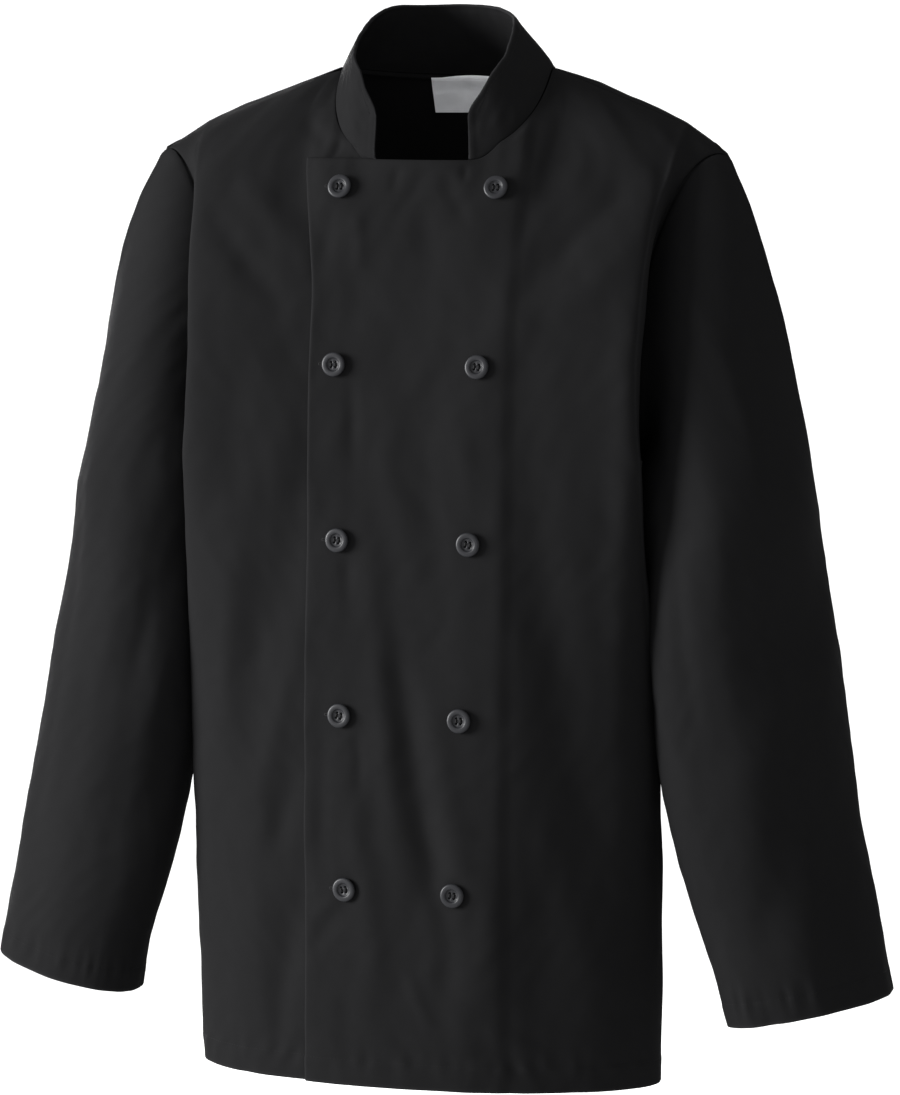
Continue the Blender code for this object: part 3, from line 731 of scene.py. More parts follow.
def makeFront(under):
    side, name, node = (-1, "frontRight", "front_right") if under else (1, "frontLeft", "front_left")
    grid, place = frontGrid(under)
    grid = softenShoulder(grid)
    normal, run, rise = gridNormals(grid, side), rowRuns(grid), runLengths(grid)
    centre = [np.interp(0, side * row[:90, 0], length[:90]) for row, length in zip(grid, run)]
    arc = run - np.array(centre)[:, None]
    fromTop, fromSide, fromLap = rise[-1] - rise, run[:, -1:] - run, run
    x, z = grid[..., 0], grid[..., 2]
    onFace = 1 - easeStep(place, 0.97, 1.10)
    relief = frontRelief(x, z, arc) * onFace
    depth, seed, size, tall = frontFolds["sideWaves"]
    relief += depth * softWaves(arc, z, seed + under, size, tall) * (1 - onFace)
    relief *= easeStep(fromTop, 0, 14 * mm) * easeStep(fromSide, 0, 16 * mm)
    if not under:  # the hidden edge of the front beneath shows as a soft step
        beyond = x - bodyForm["overlapHalf"] - 1.5 * mm
        over = place > 0
        relief += bodyForm["layerShows"] * np.where(over, 1 - easeStep(beyond, -3 * mm, 8 * mm), 1)
        relief += 0.18 * mm * bump(beyond + 5 * mm, 4.5 * mm) * over * easeStep(z, -0.02, -0.09)
    relief += hemRelief(arc, rise, 41) + roll(fromLap, 1.8 * mm, 0.35 * mm) + seamRoll(fromSide, fromTop)
    relief += 0.16 * mm * bump(fromLap - 5 * mm, 6 * mm) * softWaves(z, z * 0, 52, 0.030)
    outer = grid + normal * relief[..., None]
    # painted highlight, partly edge wear: lighter colour along the lap's free edge and the hem edge; on the
    # fold ridge by the armhole it is painted highlight only
    wearAndHighlight = 0.25 * bump(fromLap, 0.9 * mm) + 0.30 * bump(rise, 1.0 * mm) + 0.30 * bump(place - 1.0, 0.012)
    fold = 1 - easeStep(-fromSide, -3 * mm, 0)
    shape = (outer, side, arc, z, rise)
    piece, stitches, shown = sewPanel(name, name, node, shape, fold, wearAndHighlight, (1, 0, 0, 1), 60)
    return outer, shown


backStrength = 1.9
backWaves = [(0.7, 61, 0.070, 1.9), (0.14, 62, 0.026, 1)]
backFolds = [
    ([(-60, -60), (-100, -110), (-130, -180)], 13, -1.8),
    ([(55, -58), (98, -118), (126, -200)], 13, -1.6),
    ([(-20, -100), (-50, -190), (-66, -300)], 18, 1.5),
    ([(34, -120), (60, -210), (72, -340)], 16, 1.3),
    ([(4, -230), (10, -360), (-4, -500)], 20, -1.8),
    ([(-96, -330), (-90, -450), (-100, -600)], 16, -2.1),
    ([(94, -360), (88, -480), (102, -640)], 17, -2.2),
    ([(-50, -420), (-44, -540), (-52, -690)], 17, 2.2),
    ([(44, -440), (52, -560), (44, -720)], 16, 2.0),
    ([(0, -520), (4, -620), (-6, -735)], 16, -1.9),
    ([(-128, -400), (-130, -520), (-126, -660)], 12, 1.5),
    ([(130, -380), (127, -540), (132, -690)], 12, 1.4),
    ([(-136, -250), (-110, -300), (-74, -330)], 10, -1.1),
    ([(138, -240), (108, -300), (80, -322)], 10, -1.2),
]


def makeBack():
    fine = []
    for level in bodyLevels():
        beyond = 1 + np.linspace(0, 1, 70)[1:] * (armholeEdge(level, False) - 1)
        row = np.concatenate([np.linspace(0, 1, 160), beyond])
        half = surfaceRow(row, np.full(len(row), level), False)
        fine.append(np.concatenate([half[:0:-1] * (-1, 1, 1), half]))
    grid = softenShoulder(evenRows(fine, 150, seamSteps, seamSteps))
    normal, run, rise = gridNormals(grid, -1), rowRuns(grid), runLengths(grid)
    fromTop, fromSide = rise[-1] - rise, np.minimum(run, run[:, -1:] - run)
    arc, z = run - run[:, -1:] / 2, grid[..., 2]
    relief = backStrength * allCreases(grid[..., 0], z, backFolds) + allWaves(arc, z, backWaves)
    relief *= easeStep(fromTop, 0, 16 * mm) * easeStep(fromSide, 0, 18 * mm)
    relief += hemRelief(arc, rise, 63) + seamRoll(fromSide, fromTop)
    outer = grid + normal * relief[..., None]
    # painted highlight, partly edge wear: lighter colour along the hem edge
    wearAndHighlight = 0.30 * bump(rise, 1.0 * mm)
    shape = (outer, -1, arc, z, rise)
    piece, stitches, _ = sewPanel("back", "backPanel", "back", shape, 1, wearAndHighlight, (1, 0, 0, 0), 80)


sleeveForm = {
    # middle across, depth and height, half sizes broad and slim, turn, tip
    "sections": [
        (0.2225, 0.014, -0.330, 0.0740, 0.0650, 88, 0.00),
        (0.2420, 0.034, -0.430, 0.0730, 0.0515, 46, 0.02),
        (0.2600, 0.042, -0.560, 0.0705, 0.0500, 32, 0.04),
        (0.2815, 0.039, -0.644, 0.0655, 0.0470, 30, 0.05),
        (0.2905, 0.036, -0.687, 0.0635, 0.0460, 28, 0.05),
    ],
    "sides": 164,
    "fullness": 0.33,
    "perDegree": 1.2,  # mm of cloth to a degree round
    "leansIn": 5 * mm,
    "hangsBack": np.array([-2.4, 8.0, 0]) * mm,
    "tuck": [(6, 2.5), (3.5, 2.4), (1.2, 2.2), (0, 1.8)],  # how far under the body, how far in, mm
    "cuffBand": 17 * mm,
}

# path of (degrees round, height in mm): 0 is outermost, 90 in front, 180 under and 270 behind
sleeveFolds = {
    "left": [
        ([(60, -140), (52, -240), (48, -360)], 9, 1.3),
        ([(96, -200), (84, -340), (78, -500), (74, -640)], 12, 1.6),
        ([(122, -280), (112, -420), (106, -580)], 10, -1.9),
        ([(30, -300), (34, -460), (30, -620)], 11, -1.2),
        ([(150, -360), (140, -460), (118, -520)], 9, 1.5),
        ([(210, -340), (230, -420), (250, -460)], 9, -1.8),
        ([(200, -420), (222, -490), (244, -530)], 8, 1.5),
        ([(262, -160), (270, -300), (262, -460), (268, -620)], 12, 1.6),
        ([(296, -240), (300, -400), (292, -560)], 11, -1.6),
        ([(330, -180), (334, -340), (328, -540)], 12, 1.2),
    ],
    "right": [
        ([(66, -120), (58, -260), (56, -400)], 10, 1.4),
        ([(92, -220), (86, -380), (82, -540), (84, -660)], 11, 1.8),
        ([(118, -260), (110, -440), (108, -620)], 10, -1.8),
        ([(40, -280), (44, -440), (38, -600)], 9, -1.4),
        ([(14, -200), (18, -360), (12, -520)], 10, 1.0),
        ([(146, -340), (136, -440), (120, -500)], 9, 1.4),
        ([(206, -320), (226, -400), (248, -430)], 9, -1.8),
        ([(214, -450), (236, -500), (254, -520)], 8, 1.4),
        ([(276, -180), (266, -340), (272, -500), (264, -640)], 12, 1.7),
        ([(304, -220), (298, -420), (306, -600)], 11, -1.7),
    ],
}


def sleeveTable(z):
    rows = [(s[2], s[0], s[1], *s[3:]) for s in sleeveForm["sections"]][::-1]
    return readTable(rows, z)


def sleeveRun(z):
    low, high = sleeveTable(z - 0.005), sleeveTable(z + 0.005)
    return unit(np.array([low[1] - high[1], high[2] - low[2], low[0] - high[0]]))


def sleeveSection(z, angles):
    _, x, depth, broad, slim, turn, tip = sleeveTable(z)
    middle = np.array([x, -depth, z])
    run = sleeveRun(z)
    out = unit(np.array([1, 0, 0]) - run * run[0])
    ahead = unit(np.cross(out, run))
    if ahead[1] > 0:
        ahead = -ahead
    turn = radians(turn)
    broadly, slimly = broad * np.cos(angles + turn), slim * np.sin(angles + turn)
    points = middle + out * (broadly * cos(turn) + slimly * sin(turn))[:, None]
    points = points + ahead * (slimly * cos(turn) - broadly * sin(turn))[:, None]
    points[:, 2] += tip * (middle[1] - points[:, 1])
    return points


def armholeLoop(sides):  # the seam line round the armhole, and the body's outward direction along it
    halves = []
    for front in (True, False):
        edge = []
        for v in np.linspace(0, bodyForm["armpit"], 260):
            place = armholeEdge(v, front)
            here = surfaceRow(np.array([place, place - 0.02]), v, front)
            lower = surfaceRow(np.array([place]), v - 2 * mm, front)[0]
            out = np.cross(here[0] - here[1], here[0] - lower) * (1 if front else -1)
            edge.append(np.concatenate([here[0], unit(out)]))
        edge = np.array(edge)
        length = runLengths(edge[:, :3])
        half = readAlong(length, edge, np.linspace(0, length[-1], sides // 2 + 1))
        halves.append(half[:-1] if front else half[:0:-1])
    loop = np.concatenate(halves)
    out = loop[:, 3:]
    for _ in range(3):
        out = unit(np.roll(out, 1, axis=0) + 2 * out + np.roll(out, -1, axis=0))
    return loop[:, :3], out


def sleeveGrid():  # from under the body's edge, over the cap, then down the arm to the cuff
    sides = sleeveForm["sides"]
    angles = 2 * pi * np.arange(sides) / sides
    loop, out = armholeLoop(sides)
    around = unit(np.roll(loop, -1, axis=0) - np.roll(loop, 1, axis=0))
    under = unit(np.cross(out, around))
    under *= -np.sign(under[sides // 2, 2])
    topZ, cuffZ = sleeveForm["sections"][0][2], sleeveForm["sections"][-1][2]
    first, down = sleeveSection(topZ, angles), sleeveRun(topZ)
    clear = np.array([0.5, 0, -0.2]) * mm
    top, fore, aft = (1 + np.cos(angles)) / 2, np.sin(angles).clip(0), (-np.sin(angles)).clip(0)
    leave = np.column_stack([0.86 - 0.38 * top - 0.25 * aft, -0.40 * fore - 0.26 * top, -0.30 - 0.48 * top])
    span = np.linalg.norm(first - loop, axis=1, keepdims=True) * sleeveForm["fullness"]
    near, far = loop + unit(leave) * span, first - down * span
    rows = [loop + under * (a * mm) - out * (b * mm) for a, b in sleeveForm["tuck"]]
    for t in [0.002, 0.005, 0.009, 0.015, 0.023, 0.034, 0.05, *np.linspace(0.07, 1, 52)[:-1]]:
        rows.append(bezier(loop, near, far, first, t**1.15) + clear * (1 - t**1.15))
    nearCuff = np.array([27, 23, 20, 18.4, 17.6, 17, 16.4, 15.4, 13.5, 11, 8, 5, 3, 1.6, 0.7, 0]) * mm
    heights = [*np.linspace(topZ, cuffZ + 30 * mm, 96), *(cuffZ + nearCuff)]
    return np.array(rows + [sleeveSection(z, angles) for z in heights]), angles


def sleeveRelief(left, grid, angles, fromTop, fromCuff):
    z, band = grid[..., 2], sleeveForm["cuffBand"]
    seed, perDegree = (71 if left else 81), sleeveForm["perDegree"]
    around = np.degrees(np.broadcast_to(angles, z.shape))
    relief = np.zeros(z.shape)
    for path, width, height in sleeveFolds["left" if left else "right"]:
        path = [(a * perDegree, b) for a, b in path]
        for turn in (-360, 0, 360):
            relief += creaseHeight((around + turn) * perDegree * mm, z, path, width * perDegree, height)
    ring = np.radians(around)
    ahead, aside = 0.07 * np.cos(ring), 0.07 * np.sin(ring)
    relief += allWaves(ahead, aside + z * 0.55, [(0.45, seed, 0.060, 1)])
    relief += allWaves(ahead + z * 0.3, aside - z, [(0.13, seed + 1, 0.022, 1)])
    relief *= easeStep(fromTop, 0, 14 * mm)
    inmost = angles[np.argmax(grid @ np.array([-0.955, -0.295 if left else 0.295, 0]), axis=1)]
    lean = easeStep(z, -0.60, -0.48) * easeStep(-z, 0.268, 0.298) * easeStep(fromTop, 2 * mm, 15 * mm)
    turned = (around - np.degrees(inmost)[:, None] + 180) % 360 - 180
    relief += sleeveForm["leansIn"] * lean * bump(turned, 30)
    line = fromCuff - band
    pucker = softWaves(ahead, aside, seed + 2, 0.013, count=14)
    relief += 0.24 * mm * pucker * (bump(line, 8 * mm) + 0.4 * bump(line, 16 * mm))
    relief += 0.7 * mm * softWaves(ahead, aside, seed + 3, 0.040, count=8) * bump(fromCuff, 30 * mm)
    relief += hemForm["turned"] * (1 - easeStep(line, -0.8 * mm, 2 * mm))
    relief -= hemForm["ditch"] * bump(line, 1.3 * mm)
    underSeam = np.abs(around - 180) * perDegree * mm
    relief += -0.55 * mm * bump(underSeam, 1.6 * mm) + 0.25 * mm * bump(underSeam - 4 * mm, 2.5 * mm)
    return relief + roll(fromTop, 2.6 * mm, 0.7 * mm) + 0.35 * mm * bump(fromTop - 5 * mm, 3 * mm)


def makeSleeve(left):
    name, node = ("sleeveLeft", "sleeve_left") if left else ("sleeveRight", "sleeve_right")
    grid, angles = sleeveGrid()
    normal = gridNormals(grid, 1, closed=True)
    if ((grid - grid.mean(1, keepdims=True)) * normal).sum() < 0:
        normal = -normal
    length, tucked = runLengths(grid), len(sleeveForm["tuck"])
    fromTop, fromCuff = (length - length[tucked]).clip(0), length[-1] - length
    arc = np.cumsum(np.linalg.norm(np.roll(grid, -1, axis=1) - grid, axis=-1), axis=1)
    relief = sleeveRelief(left, grid, angles, fromTop, fromCuff)
    relief[:tucked] = 0
    outer, z = grid + normal * relief[..., None], grid[..., 2]
    if left:  # this arm hangs a little further back
        share = easeStep(-z, 0.26, 0.42) * (0.35 + 0.65 * easeStep(z, -0.70, -0.58))
        outer += share[..., None] * sleeveForm["hangsBack"]
    else:
        outer *= (-1, 1, 1)
    shown = gridNormals(outer, 1, closed=True)
    outward = 1 if ((outer - outer.mean(1, keepdims=True)) * shown).sum() > 0 else -1
    shown *= outward
    line = fromCuff - sleeveForm["cuffBand"]
    wall = bodyForm["cloth"] + hemForm["layer"] * (1 - easeStep(line, -0.5 * mm, 0.6 * mm))
    # painted highlight, partly edge wear: lighter colour along the cuff edge
    wearAndHighlight, grain = 0.4 * bump(fromCuff, 1.2 * mm), np.stack([arc, -length], -1)
    mesh = shellMesh(name, outer, shown, wall, grain, wearAndHighlight, outward, closed=True, soft=(0, 0, 1, 0))
    piece = addPiece(name, mesh, twillCloth, "cloth", node)
    cuffRow = int(np.argmin(np.abs(line[:, 0])))
    ringRow, ringOut = (np.concatenate([part[cuffRow], part[cuffRow, :1]]) for part in (outer, shown))
    stitches = addStitches(name + "Stitches", ringRow, ringOut)


collarForm = {
    # share along from the centre back, height, lean
    "sections": [
        (-0.25, 0.0530, 24),
        (0.00, 0.0556, 15),
        (0.25, 0.0530, 24),
        (0.40, 0.0465, 31),
        (0.50, 0.0440, 35),
        (0.60, 0.0440, 30),
        (0.74, 0.0490, 20),
        (0.88, 0.0540, 12),
        (1.00, 0.0540, 8),
    ],
    "tipped": -5.5 * mm,  # worn leaning a little to the right
    "lift": 4.2 * mm,  # and standing a little higher behind that side
    "corner": 0.042,
    "drop": 0.024,
    "end": 0.114,
    "wall": 2.0 * mm,
    "tuck": [(3.2, 2.4), (1.7, 2.1), (0.5, 1.3)],  # how far under the neckline, how far in, mm
    "inset": 6 * mm,  # the edge's stitching
    "rollsOut": 1.1 * mm,
    "waves": [(0.35, 91, 0.045, 1), (0.12, 92, 0.016, 1)],
}


def smoothedTo(at, total, values, spread):  # evens out values read along a length
    even, reach = np.linspace(0, total, 400), int(3 * spread)
    weights = np.exp(-((np.arange(-reach, reach + 1) / spread) ** 2))
    level = np.pad(np.interp(even, at, values), reach, mode="edge")
    return np.interp(at, even, np.convolve(level, weights / weights.sum(), mode="valid"))


def collarGrid():
    c, neck = collarForm, neckForm["pointAcross"]
    ahead = topPoint(np.linspace(neck, c["end"], 200)[1:], True)
    feet = np.concatenate([topPoint(np.linspace(0, neck, 200), False), ahead])
    total = runLengths(feet)[-1]
    turn = np.linspace(0, pi / 2, 26)[1:]
    rounded = total - c["corner"] * (1 - np.sin(turn) * 0.999)
    at = np.concatenate([np.linspace(0, total - c["corner"], 116), rounded])
    foot = alongLine(feet, at / total)
    s = readTable(c["sections"], at / total)
    full, lean = smoothedTo(at, total, s[:, 1], 20), np.radians(smoothedTo(at, total, s[:, 2], 20))
    soft = np.column_stack([smoothedTo(at, total, foot[:, k], 26) for k in range(3)])
    away = (easeStep(at / total, 0.12, 0.32) * easeStep(1 - at / total, 0.03, 0.22))[:, None]
    soft = foot + (soft - foot) * away  # the rim runs smoothly past the neck point
    ahead = np.gradient(soft, axis=0)
    inward = unit(np.column_stack([ahead[:, 1], -ahead[:, 0], np.zeros(len(foot))]))
    rise = np.array([0, 0, 1]) * np.cos(lean)[:, None] + inward * np.sin(lean)[:, None]
    off = np.clip(1 - (total - at) / c["corner"], 0, 1)
    height = full - c["drop"] * (1 - np.sqrt(1 - off * off))
    rimSteps = [0.84, 0.87, 0.895, 0.915, 0.935, 0.955, 0.972, 0.987, 1.0]
    steps = np.concatenate([[0, 0.012, 0.03, 0.055, 0.09], np.linspace(0.13, 0.80, 26), rimSteps])
    rows = [foot - rise * (a * mm) + inward * (b * mm) for a, b in c["tuck"]]
    for share in steps:
        base = foot + (soft - foot) * easeStep(share, 0, 0.7)
        rows.append(base + rise * (0.4 * mm + height * share)[:, None])
    half = np.array(rows)
    grid = np.concatenate([half[:, :0:-1] * (-1, 1, 1), half], axis=1)
    lengthwise = np.concatenate([-at[:0:-1], at])
    tipped = c["tipped"] * (1 - 0.62 * easeStep(np.abs(lengthwise) / total, 0.66, 0.90))
    first = len(c["tuck"])
    grid[..., 0] += tipped * ((grid - grid[first])[..., 2] / 0.045).clip(0, 1.2)
    grid[first:, :, 2] += c["lift"] * bump(lengthwise / total + 0.34, 0.15) * steps[:, None]
    return grid, lengthwise, total, np.concatenate([full[:0:-1], full])


def makeCollar():
    c = collarForm
    grid, lengthwise, total, full = collarGrid()
    first, inset = len(c["tuck"]), c["inset"]
    normal = gridNormals(grid, -1)
    up = runLengths(grid)
    up = up - up[first]
    lengthwise = lengthwise + 0 * up
    fromTop, ends = up[-1] - up, total - np.abs(lengthwise)
    share = (up / (up[-1] + 1e-9)).clip(0)
    relief = c["rollsOut"] * np.sin(pi * share) * easeStep(ends, 0, 30 * mm)
    relief += allWaves(lengthwise, up, c["waves"])
    relief *= easeStep(up, 0, 8 * mm)
    edgeAway = np.minimum(fromTop, ends)
    line = edgeAway - inset
    relief += -0.14 * mm * bump(line, 0.9 * mm) + 0.12 * mm * bump(edgeAway - 3 * mm, 2.2 * mm)
    relief += 0.10 * mm * softWaves(lengthwise, up * 0, 93, 0.012) * bump(line, 4 * mm)
    relief += roll(edgeAway, 1.6 * mm, 0.30 * mm) + roll(up.clip(0), 2.2 * mm, 0.5 * mm)
    relief[:first] = 0
    outer = grid + normal * relief[..., None]
    shown = gridNormals(outer, -1)
    wall = c["wall"] + 0.7 * mm * easeStep(up, 2 * mm, 9 * mm) - 0.5 * mm * (up < 0)
    # painted highlight, partly edge wear: lighter colour along the collar's top and end edges
    wearAndHighlight, grain = 0.5 * bump(edgeAway, 1.2 * mm), np.stack([lengthwise, up], -1)
    mesh = shellMesh("collar", outer, shown, wall, grain, wearAndHighlight, -1, soft=(0, 1, 1, 1))
    piece = addPiece("standCollar", mesh, twillCloth, "cloth", "collar")
    topLine, topOut = [], []  # the stitching keeps inside the ends and the top
    for j in np.flatnonzero(ends[0] > inset):
        target = up[-1, j] - inset
        if ends[0, j] < c["corner"]:
            across = (c["corner"] - ends[0, j]) / (c["corner"] - inset)
            drop = (c["drop"] - 4 * mm) * (1 - sqrt(max(1 - across * across, 0)))
            target = full[j] - inset - drop
        topLine.append(readAlong(up[:, j], outer[:, j], target))
        topOut.append(readAlong(up[:, j], shown[:, j], target))
    stitches = addStitches("collarStitches", np.array(topLine), np.array(topOut))


labelForm = {"half": 0.032, "tall": 0.0275, "drop": -0.0008, "wall": 0.6 * mm}


def makeLabel():
    columns, rows, form = 61, 30, labelForm
    levels = np.linspace(bodyForm["archStart"], 0, 200)
    xs = np.linspace(-form["half"], form["half"], columns)
    heights = np.array([surfaceRow(np.abs(xs) / 0.18, v, False) for v in levels])
    grid = []
    for hang in np.linspace(form["tall"], 0, rows):
        z = -neckForm["dropBack"] - form["drop"] - hang
        y = [np.interp(z, heights[:, j, 2], heights[:, j, 1]) for j in range(columns)]
        grid.append(np.column_stack([xs, y, np.full(columns, z)]))
    grid = np.array(grid)
    hang = np.linspace(form["tall"], 0, rows)[:, None, None]
    off = bodyForm["cloth"] + 1.0 * mm + 2.6 * mm * (1 - easeStep(hang, 0, 11 * mm))
    normal = gridNormals(grid, 1)  # towards the wearer's neck
    grid += normal * off
    v = np.broadcast_to(np.linspace(0, 1, rows)[:, None], (rows, columns))
    u, z = np.broadcast_to(xs, v.shape), grid[..., 2]
    relief = 0.35 * mm * softWaves(u, z, 95, 0.022) * np.sin(pi * v)
    relief += 0.5 * mm * bump(u - 12 * mm, 6 * mm) * np.sin(pi * v)
    relief += roll(np.minimum(u - xs[0], xs[-1] - u), 2 * mm, 0.2 * mm)
    outer = grid + normal * relief[..., None]
    shown = gridNormals(outer, 1)
    mesh = shellMesh("label", outer, shown, v * 0 + form["wall"], np.stack([u, z], -1), v * 0, 1)
    piece = addPiece("neckLabel", mesh, labelSatin, "label", "neck_label")
    border, borderOut = (
        np.concatenate([part[2, 2:-2], part[2:-2, -3], part[-3, -3:1:-1], part[-3:1:-1, 2]])
        for part in (outer, shown)
    )
    fine = {"pitch": 2.2 * mm, "long": 1.7 * mm, "thick": 0.14 * mm}
    stitches = addStitches("labelStitches", border, borderOut, labelSatin, "label", **fine)
    stitches.data.uv_layers.new(name="grain")


buttonForm = {
    "radius": 9.0 * mm,
    "thick": 3.2 * mm,
    "stand": 1.0 * mm,
    "dish": 0.46,  # share of the radius that is dished
    "dishDeep": 1.3 * mm,
    "holeAt": 1.7 * mm,
    "holeRadius": 1.0 * mm,
    # share of the radius and height in mm, above the dish's floor, below the top face, then above the foot
    "rise": [(0.485, 0.06), (0.515, 0.32), (0.545, 0.78)],
    "rim": [(0.575, 0.20), (0.61, 0.05), (0.70, 0), (0.83, 0.01), (0.89, 0.13), (0.94, 0.38), (0.975, 0.75)],
    "side": [(1.0, 1.25), (0.995, 1.75), (0.955, 2.4)],
    "foot": [(0.86, 0.35), (0.70, 0.08), (0.30, 0.0)],
    "around": 72,
    "holeSides": 24,
}


def makeButtonMesh():
    b = buttonForm
    top, floor, around, holeSides = b["thick"], b["thick"] - b["dishDeep"], b["around"], b["holeSides"]
    work = bmesh.new()

    def circle(x, y, radius, z, count):
        turns = [2 * pi * k / count for k in range(count)]
        return [work.verts.new((x + radius * cos(a), y + radius * sin(a), z)) for a in turns]

    def band(a, c):
        n = len(a)
        for k in range(n):
            work.faces.new([a[k], a[(k + 1) % n], c[(k + 1) % n], c[k]])

    profile = [(b["dish"], floor)] + [(share, floor + z * mm) for share, z in b["rise"]]
    profile += [(share, top - z * mm) for share, z in b["rim"] + b["side"]]
    profile += [(share, z * mm) for share, z in b["foot"]]
    rings = [circle(0, 0, share * b["radius"], z, around) for share, z in profile]
    for a, c in zip(rings, rings[1:]):
        band(c, a)
    work.faces.new(rings[-1][::-1])
    edges = [work.edges.get((rings[0][k], rings[0][(k + 1) % around])) for k in range(around)]
    holes = []
    for x, y in [(sx * b["holeAt"], sy * b["holeAt"]) for sx in (-1, 1) for sy in (-1, 1)]:
        ring = circle(x, y, b["holeRadius"] + 0.14 * mm, floor, holeSides)
        edges += [work.edges.new((ring[k], ring[(k + 1) % holeSides])) for k in range(holeSides)]
        holes.append((ring, x, y))
    bmesh.ops.triangle_fill(work, edges=edges, use_beauty=True, normal=(0, 0, 1))
    for ring, x, y in holes:
        lip = circle(x, y, b["holeRadius"] + 0.03 * mm, floor - 0.08 * mm, holeSides)
        deep = circle(x, y, b["holeRadius"], floor - 0.25 * mm, holeSides)
        end = circle(x, y, b["holeRadius"] * 0.96, 0.35 * mm, holeSides)
        for a, c in ((ring, lip), (lip, deep), (deep, end)):
            band(a, c)
        work.faces.new(end)
    bmesh.ops.recalc_face_normals(work, faces=work.faces)
    mesh = bpy.data.meshes.new("buttonFace")
    work.to_mesh(mesh)
    work.free()
    mesh.shade_smooth()
    return mesh


def threadBars():  # thread up through one hole and down the next, and the shank behind
    b = buttonForm
    floor, points, faces = b["thick"] - b["dishDeep"], [], []

    def tube(x, y, z, radius, sides=8):
        path = np.column_stack([x + 0 * z, y + 0 * z, z])
        start, rings = len(points), len(path)
        for p, t in zip(path, unit(np.gradient(path, axis=0))):
            side = unit(np.cross(t, np.array([0.95, 0.2, 0.1])))
            up = np.cross(side, t)
            turns = [2 * pi * k / sides for k in range(sides)]
            points.extend(p + side * (radius * cos(a)) + up * (radius * sin(a)) for a in turns)
        faces.extend(face[::-1] for face in tubeFaces(rings, sides, start))
        faces.append([start + k for k in range(sides)][::-1])
        faces.append([start + (rings - 1) * sides + k for k in range(sides)])

    t = np.linspace(-1, 1, 15)
    for sx in (-1, 1):
        for shift, lift in ((-0.42, 0.0), (0.38, 0.03), (0.0, 0.26)):
            arch = floor - 1.1 * mm + (1.38 + lift) * mm * (1 - np.abs(t) ** 5)
            tube(sx * b["holeAt"] + shift * mm, b["holeAt"] * t, arch, 0.36 * mm)
    t = np.linspace(0, 1, 7)
    for a in [2 * pi * k / 5 for k in range(5)]:
        spread = 1.1 * mm * (1 + 0.5 * t)
        tube(spread * cos(a), spread * sin(a), 0.3 * mm - (b["stand"] + 0.6 * mm) * t, 0.55 * mm)
    a, wound = np.linspace(0, 2 * pi, 22), 1.75 * mm
    for turn in range(3):
        z = -0.35 * mm - 0.45 * mm * turn + 0.4 * mm * a / 7
        tube(wound * np.cos(a), wound * np.sin(a), z, 0.26 * mm, 6)
    return plainMesh("buttonThread", points, faces)


def makeButtons(outer, normals):
    face, bars = makeButtonMesh(), threadBars()
    draw = np.random.default_rng(7)
    flat, flatOut = outer.reshape(-1, 3), normals.reshape(-1, 3)
    for name, spot in buttonSpots.items():
        near = np.argsort(((flat - spot) ** 2).sum(1))[:12]
        out = Vector(flatOut[near].mean(0)).normalized()
        base = Vector(spot) - out * (Vector(spot) - Vector(flat[near[0]])).dot(out)
        sideways = Vector((0, 0, 1)).cross(out).normalized()
        turn = Matrix((sideways, out.cross(sideways), out)).transposed().to_4x4()
        spin = Matrix.Rotation(radians(draw.uniform(-12, 12)), 4, "Z")
        tilt = Matrix.Rotation(radians(draw.uniform(-3, 3)), 4, "X")
        tilt = tilt @ Matrix.Rotation(radians(draw.uniform(-3, 3)), 4, "Y")
        place = Matrix.Translation(base + out * buttonForm["stand"]) @ turn @ tilt @ spin
        own = name.replace("button_left_", "buttonLeft").replace("button_right_", "buttonRight")
        resin, sewn = face.copy(), bars.copy()
        resin.transform(place)
        sewn.transform(place)
        addPiece(own, resin, buttonResin, "button", name)
        addPiece(own + "Thread", sewn, blackThread, "cloth")


def onCloth(points, outer, normals):  # drops points given by across and height onto the cloth
    flat, out = outer.reshape(-1, 3), normals.reshape(-1, 3)
    made, away = [], []
    for x, z in points:
        k = int(np.argmin((flat[:, 0] - x) ** 2 + (flat[:, 2] - z) ** 2))
        foot, n = flat[k], out[k]
        made.append((x, foot[1] - (n[0] * (x - foot[0]) + n[2] * (z - foot[2])) / n[1], z))
        away.append(n)
    return np.array(made), unit(np.array(away))


# a worked buttonhole lies beneath each button by the free edge
holeForm = {
    "half": 10.5 * mm,
    "wide": 1.0 * mm,
    "bead": 0.55 * mm,
    "shift": -1.6 * mm,
    "beads": 180,
    "sides": 8,
}


def makeButtonholes(outer, normals):
    h, points, faces = holeForm, [], []
    t = np.linspace(0, 2 * pi, h["beads"] + 1)[:-1]
    across = h["shift"] + h["half"] * np.clip(1.35 * np.cos(t), -1, 1)
    turns = [2 * pi * k / h["sides"] for k in range(h["sides"])]
    for spot in buttonSpots.values():
        if spot[0] > 0:
            continue
        line = np.column_stack([spot[0] + across, spot[2] + h["wide"] * np.sin(t)])
        path, out = onCloth(line, outer, normals)
        side = unit(np.cross(out, np.roll(path, -1, axis=0) - np.roll(path, 1, axis=0)))
        faces += tubeFaces(len(path), h["sides"], len(points), closed=True)
        for i, (p, o, w) in enumerate(zip(path, out, side)):
            fat = h["bead"] * (1.0 if i % 2 else 0.84)
            points += [p + w * (fat * cos(a)) + o * (0.42 * fat * sin(a)) for a in turns]
    addPiece("buttonholes", plainMesh("buttonholes", points, faces), blackThread, "cloth")


lapOuter, lapNormals = makeFront(False)
makeButtonholes(lapOuter, lapNormals)
makeFront(True)
print("fronts made")
makeBack()
print("back made")
makeSleeve(True)
makeSleeve(False)
print("sleeves made")
makeCollar()
makeLabel()
print("collar and label made")
makeButtons(lapOuter, lapNormals)
print("buttons made")

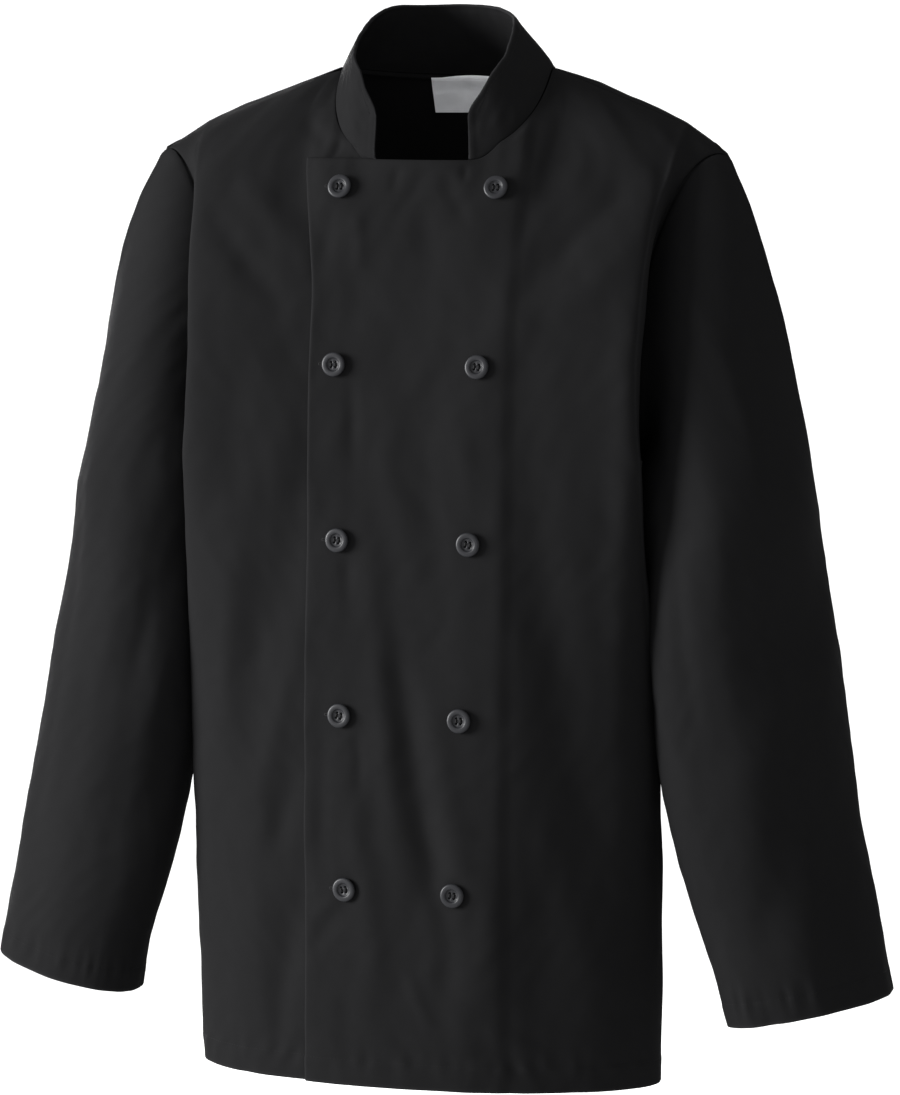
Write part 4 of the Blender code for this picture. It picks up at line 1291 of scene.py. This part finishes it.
studio = {
    "floor": -1.60,
    "floorShade": 0.20,
    "floorGlow": 0.94,
    "skyGlow": 1.0,
    "keyAzimuth": -62.5,
    "keyHeight": 9,
    "keyDistance": 4.5,
    "keySize": 2.2,
    "aimHeight": -0.36,
    "keyPower": 835,
    "backAzimuth": 212,
    "backHeight": 10,
    "backPower": 330,
}


def makeStudio():
    r = 5000
    mesh = bpy.data.meshes.new("studioFloor")
    mesh.from_pydata([(-r, -r, 0), (r, -r, 0), (r, r, 0), (-r, r, 0)], [], [(0, 1, 2, 3)])
    floor = addObject("studioFloor", mesh)
    floor.location.z = studio["floor"]
    material, _, shader = nodeTree("paleFloor")
    shader.inputs["Base Color"].default_value = (*[studio["floorShade"]] * 3, 1)
    shader.inputs["Roughness"].default_value = 0.9
    shader.inputs["Emission Color"].default_value = (1, 1, 1, 1)
    shader.inputs["Emission Strength"].default_value = studio["floorGlow"]
    mesh.materials.append(material)
    world = bpy.data.worlds.new("studioAir")
    world.use_nodes = True
    sky = world.node_tree.nodes["Background"].inputs
    sky[0].default_value, sky[1].default_value = (1, 1, 1, 1), studio["skyGlow"]
    scene.world = world


def makeLamp(name, azimuth, height, power):
    lamp = bpy.data.lights.new(name, "AREA")
    lamp.shape, lamp.size, lamp.energy = "DISK", studio["keySize"], power
    a, e = radians(azimuth), radians(height)
    away = Vector((sin(a) * cos(e), -cos(a) * cos(e), sin(e)))
    placed = addObject(name, lamp)
    placed.location = Vector((0, 0, studio["aimHeight"])) + away * studio["keyDistance"]
    placed.rotation_euler = away.to_track_quat("Z", "Y").to_euler()


makeStudio()
makeLamp("keyLamp", studio["keyAzimuth"], studio["keyHeight"], studio["keyPower"])
makeLamp("backLamp", studio["backAzimuth"], studio["backHeight"], studio["backPower"])

cameraForm = {
    "azimuth": 17.185,
    "distance": 3.8782,
    "height": 0.0561,
    "pitch": 6.120,
    "yaw": -0.030,
    "lens": 170.6,
}


def makeCamera():
    c = cameraForm
    data = bpy.data.cameras.new("camera")
    data.lens, data.sensor_width, data.sensor_fit = c["lens"], 36, "AUTO"
    data.clip_start, data.clip_end = 0.1, 2000
    camera = addObject("camera", data)
    a = radians(c["azimuth"])
    camera.location = (c["distance"] * sin(a), -c["distance"] * cos(a), c["height"])
    look, pitch = a + radians(c["yaw"]), radians(c["pitch"])
    ahead = Vector((-sin(look) * cos(pitch), cos(look) * cos(pitch), -sin(pitch)))
    camera.rotation_euler = ahead.to_track_quat("-Z", "Y").to_euler()
    scene.camera = camera


makeCamera()
